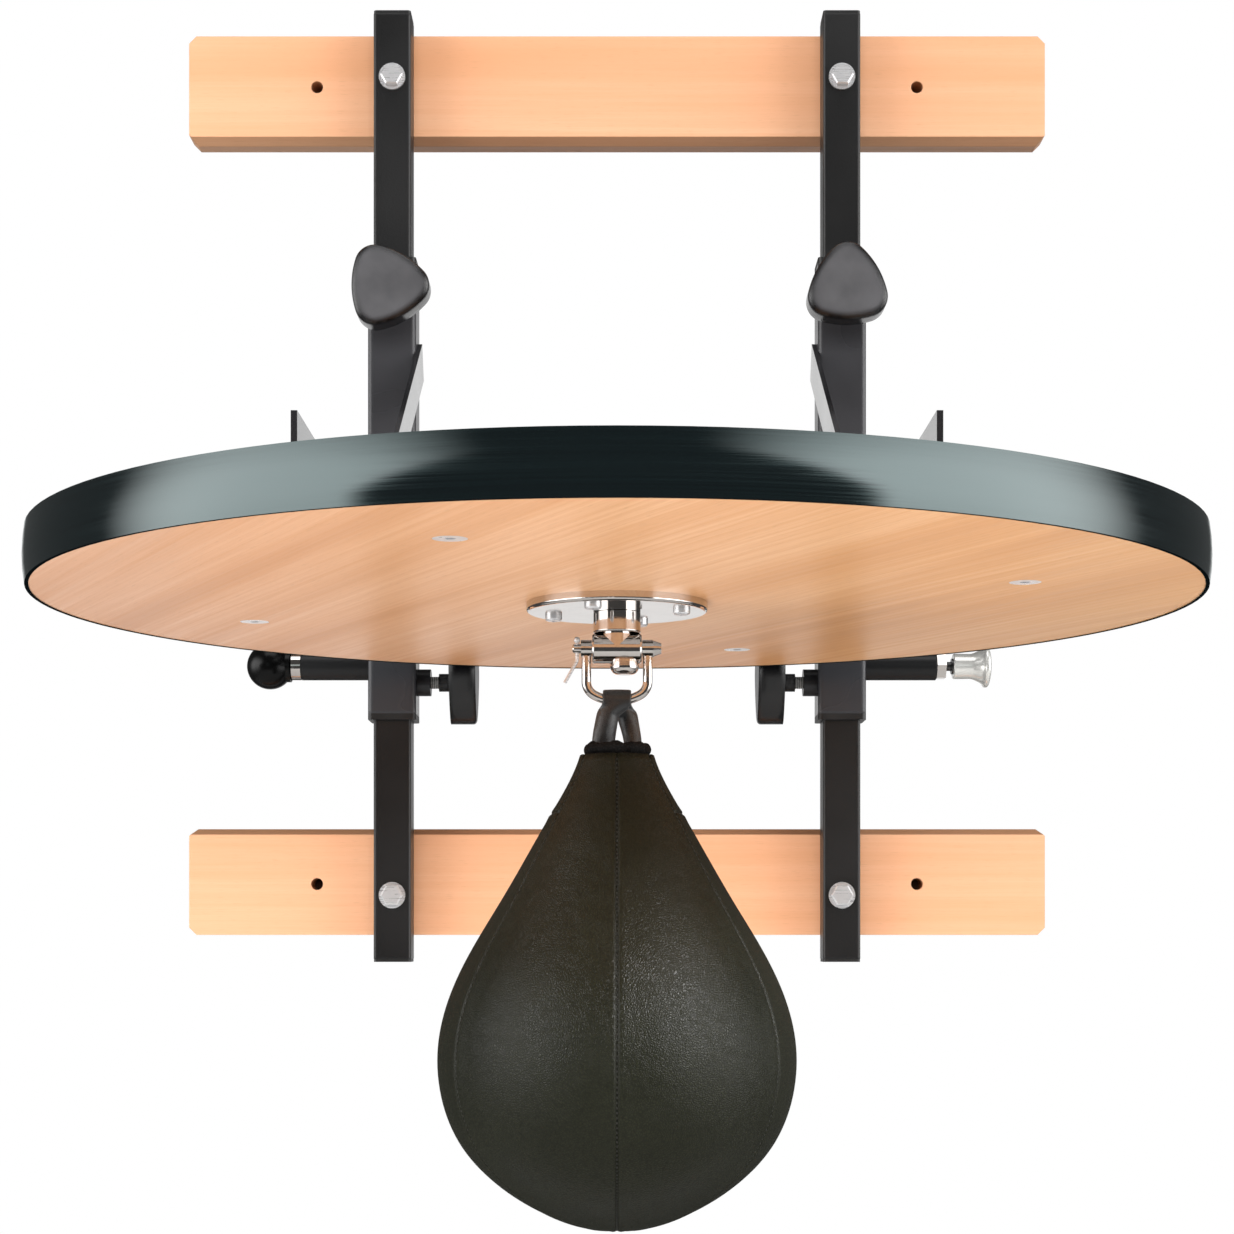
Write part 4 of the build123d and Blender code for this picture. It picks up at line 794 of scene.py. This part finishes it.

# Painted shade: dark discs just behind the planks' holes, where the wall would be, stand in for the
# shadow inside them. They aren't seen from the back.
WALL_HOLE_X, WALL_HOLE_Z = 203.2 * MM, 270 * MM
hole_shadow = Look("hole_shadow", (0.09, 0.045, 0.03), 0.9)
from_back = hole_shadow.add("NewGeometry").outputs["Backfacing"]
clear = hole_shadow.add("BsdfTransparent").outputs[0]
shade = hole_shadow.add("MixShader", {0: from_back, 1: hole_shadow.bsdf.outputs[0], 2: clear})
hole_shadow.set(hole_shadow.tree.nodes["Material Output"], "Surface", shade.outputs[0])
for x in (-WALL_HOLE_X, WALL_HOLE_X):
    for z in (-WALL_HOLE_Z, WALL_HOLE_Z):
        bpy.ops.mesh.primitive_circle_add(
            vertices=32,
            radius=8 * MM,
            fill_type="NGON",
            location=(x, 0.6 * MM, z),
            rotation=(math.radians(90), 0, 0),
        )
        stage_last_added("wall_shadow_in_hole", hole_shadow.m)


def soft_light(name, place, target, width, height, watts, glossy=True, only=None):
    """A rectangular soft light, unseen by the camera. only is the one object it lights."""
    data = bpy.data.lights.new(name, "AREA")
    data.shape = "RECTANGLE"
    data.size = width
    data.size_y = height
    data.energy = watts
    light = bpy.data.objects.new(name, data)
    scene.collection.objects.link(light)
    light.location = place
    light.rotation_euler = (Vector(target) - Vector(place)).to_track_quat("-Z", "Y").to_euler()
    light.visible_camera = False
    light.visible_glossy = glossy
    if only:
        group = bpy.data.collections.new(name + "_lit")
        group.objects.link(only)
        light.light_linking.receiver_collection = group


def around(azimuth, distance, height):
    """A place round the bag's axis, azimuth degrees right of the front."""
    a = math.radians(azimuth)
    return (distance * math.sin(a), AXIS_Y - distance * math.cos(a), height)


bag_middle = (0, AXIS_Y, -0.34)
soft_light("top", (0, -0.9, 1.9), (0, -0.3, 0), 1.8, 1.2, 16)
soft_light("under", (-0.2, -0.9, -1.2), (0, -0.5, 0), 2.4, 1.6, 33, glossy=False)
soft_light("face", around(0, 2.6, 0.5), (0, -0.1, 0), 1.6, 1.2, 31, glossy=False)
soft_light("bag_right", around(46, 1.3, 0.52), bag_middle, 0.22, 0.26, 28, only=bag)
soft_light("bag_left", around(-58, 1.3, 0.22), bag_middle, 0.22, 0.26, 8, only=bag)


LAMP_GREY = 0.8  # of the soft boxes and the glow behind the object


class Studio:
    """World shader: a plain white backdrop for the camera, a dark room for everything else.

    The room has a soft box at each side and a glow behind the object."""

    def __init__(self):
        world = bpy.data.worlds.new("studio")
        scene.world = world
        world.use_nodes = True
        self.tree = world.node_tree
        self.tree.nodes.clear()
        self.ray = self.tree.nodes.new("ShaderNodeTexCoord").outputs["Generated"]
        parts = self.tree.nodes.new("ShaderNodeSeparateXYZ")
        self.tree.links.new(self.ray, parts.inputs[0])
        self.rise = parts.outputs["Z"]

    def node(self, kind, inputs, **props):
        node = self.tree.nodes.new("ShaderNode" + kind)
        for key, value in props.items():
            setattr(node, key, value)
        for socket, value in inputs.items():
            if isinstance(value, bpy.types.NodeSocket):
                self.tree.links.new(value, node.inputs[socket])
            else:
                node.inputs[socket].default_value = value
        return node.outputs[0]

    def math(self, op, *values):
        return self.node("Math", dict(enumerate(values)), operation=op)

    def smooth(self, value, low, high, at_low, at_high):
        """value run through a smooth step from at_low (at low) to at_high (at high)."""
        inputs = {"Value": value, 1: low, 2: high, 3: at_low, 4: at_high}
        return self.node("MapRange", inputs, interpolation_type="SMOOTHSTEP")

    def toward(self, azimuth):
        """Cosine of the angle between the ray and level, azimuth degrees right of the front."""
        a = math.radians(azimuth)
        near = self.tree.nodes.new("ShaderNodeVectorMath")
        near.operation = "DOT_PRODUCT"
        self.tree.links.new(self.ray, near.inputs[0])
        near.inputs[1].default_value = (math.sin(a), -math.cos(a), 0)
        return near.outputs["Value"]

    def soft_box(self, azimuth, strength, edge):
        """A tall soft box, brightest a little above level, slanted and crisp towards the front.

        edge is the cosine at which it has faded out sideways."""
        middle_rise, full_within, faded_beyond, faded = 0.17, 0.1, 0.6, 0.1
        full_cosine = 0.97
        lean, front_start, front_end = 0.66, 0.63, 0.72
        off_level = self.math("ABSOLUTE", self.math("SUBTRACT", self.rise, middle_rise))
        level = self.smooth(off_level, full_within, faded_beyond, 1.0, faded)
        side = self.smooth(self.toward(azimuth), edge, full_cosine, 0.0, strength)
        above = self.math("MAXIMUM", self.rise, 0.0)
        slanted = self.math("MULTIPLY_ADD", above, -lean, self.toward(0))
        front = self.smooth(slanted, front_start, front_end, 1.0, 0.0)
        shape = self.math("MULTIPLY", self.math("MULTIPLY", side, level), front)
        return self.glow(shape, LAMP_GREY)

    def glow(self, strength, grey=1.0):
        return self.node("Background", {"Color": (grey, grey, grey, 1), "Strength": strength})

    def add(self, a, b):
        return self.node("AddShader", {0: a, 1: b})


studio = Studio()
room = studio.glow(0.07)
for azimuth, strength, edge in ((-64, 5.6, 0.71), (62, 6.3, 0.62)):
    room = studio.add(room, studio.soft_box(azimuth, strength, edge))
behind = studio.smooth(studio.toward(180), 0.9, 0.955, 0.0, 1.0)
room = studio.add(room, studio.glow(behind, LAMP_GREY))
camera_ray = studio.tree.nodes.new("ShaderNodeLightPath").outputs["Is Camera Ray"]
surface = studio.node("MixShader", {0: camera_ray, 1: room, 2: studio.glow(1.0)})
output = studio.tree.nodes.new("ShaderNodeOutputWorld")
studio.tree.links.new(surface, output.inputs["Surface"])

camera_data = bpy.data.cameras.new("camera")
camera = bpy.data.objects.new("camera", camera_data)
scene.collection.objects.link(camera)
camera.location = (0, -1.611, -0.3036)
camera.rotation_euler = (math.radians(90), 0, 0)
camera_data.sensor_width = 36
camera_data.lens = 68.4846
camera_data.shift_y = 0.25656
scene.camera = camera
scene.view_settings.view_transform = "Standard"
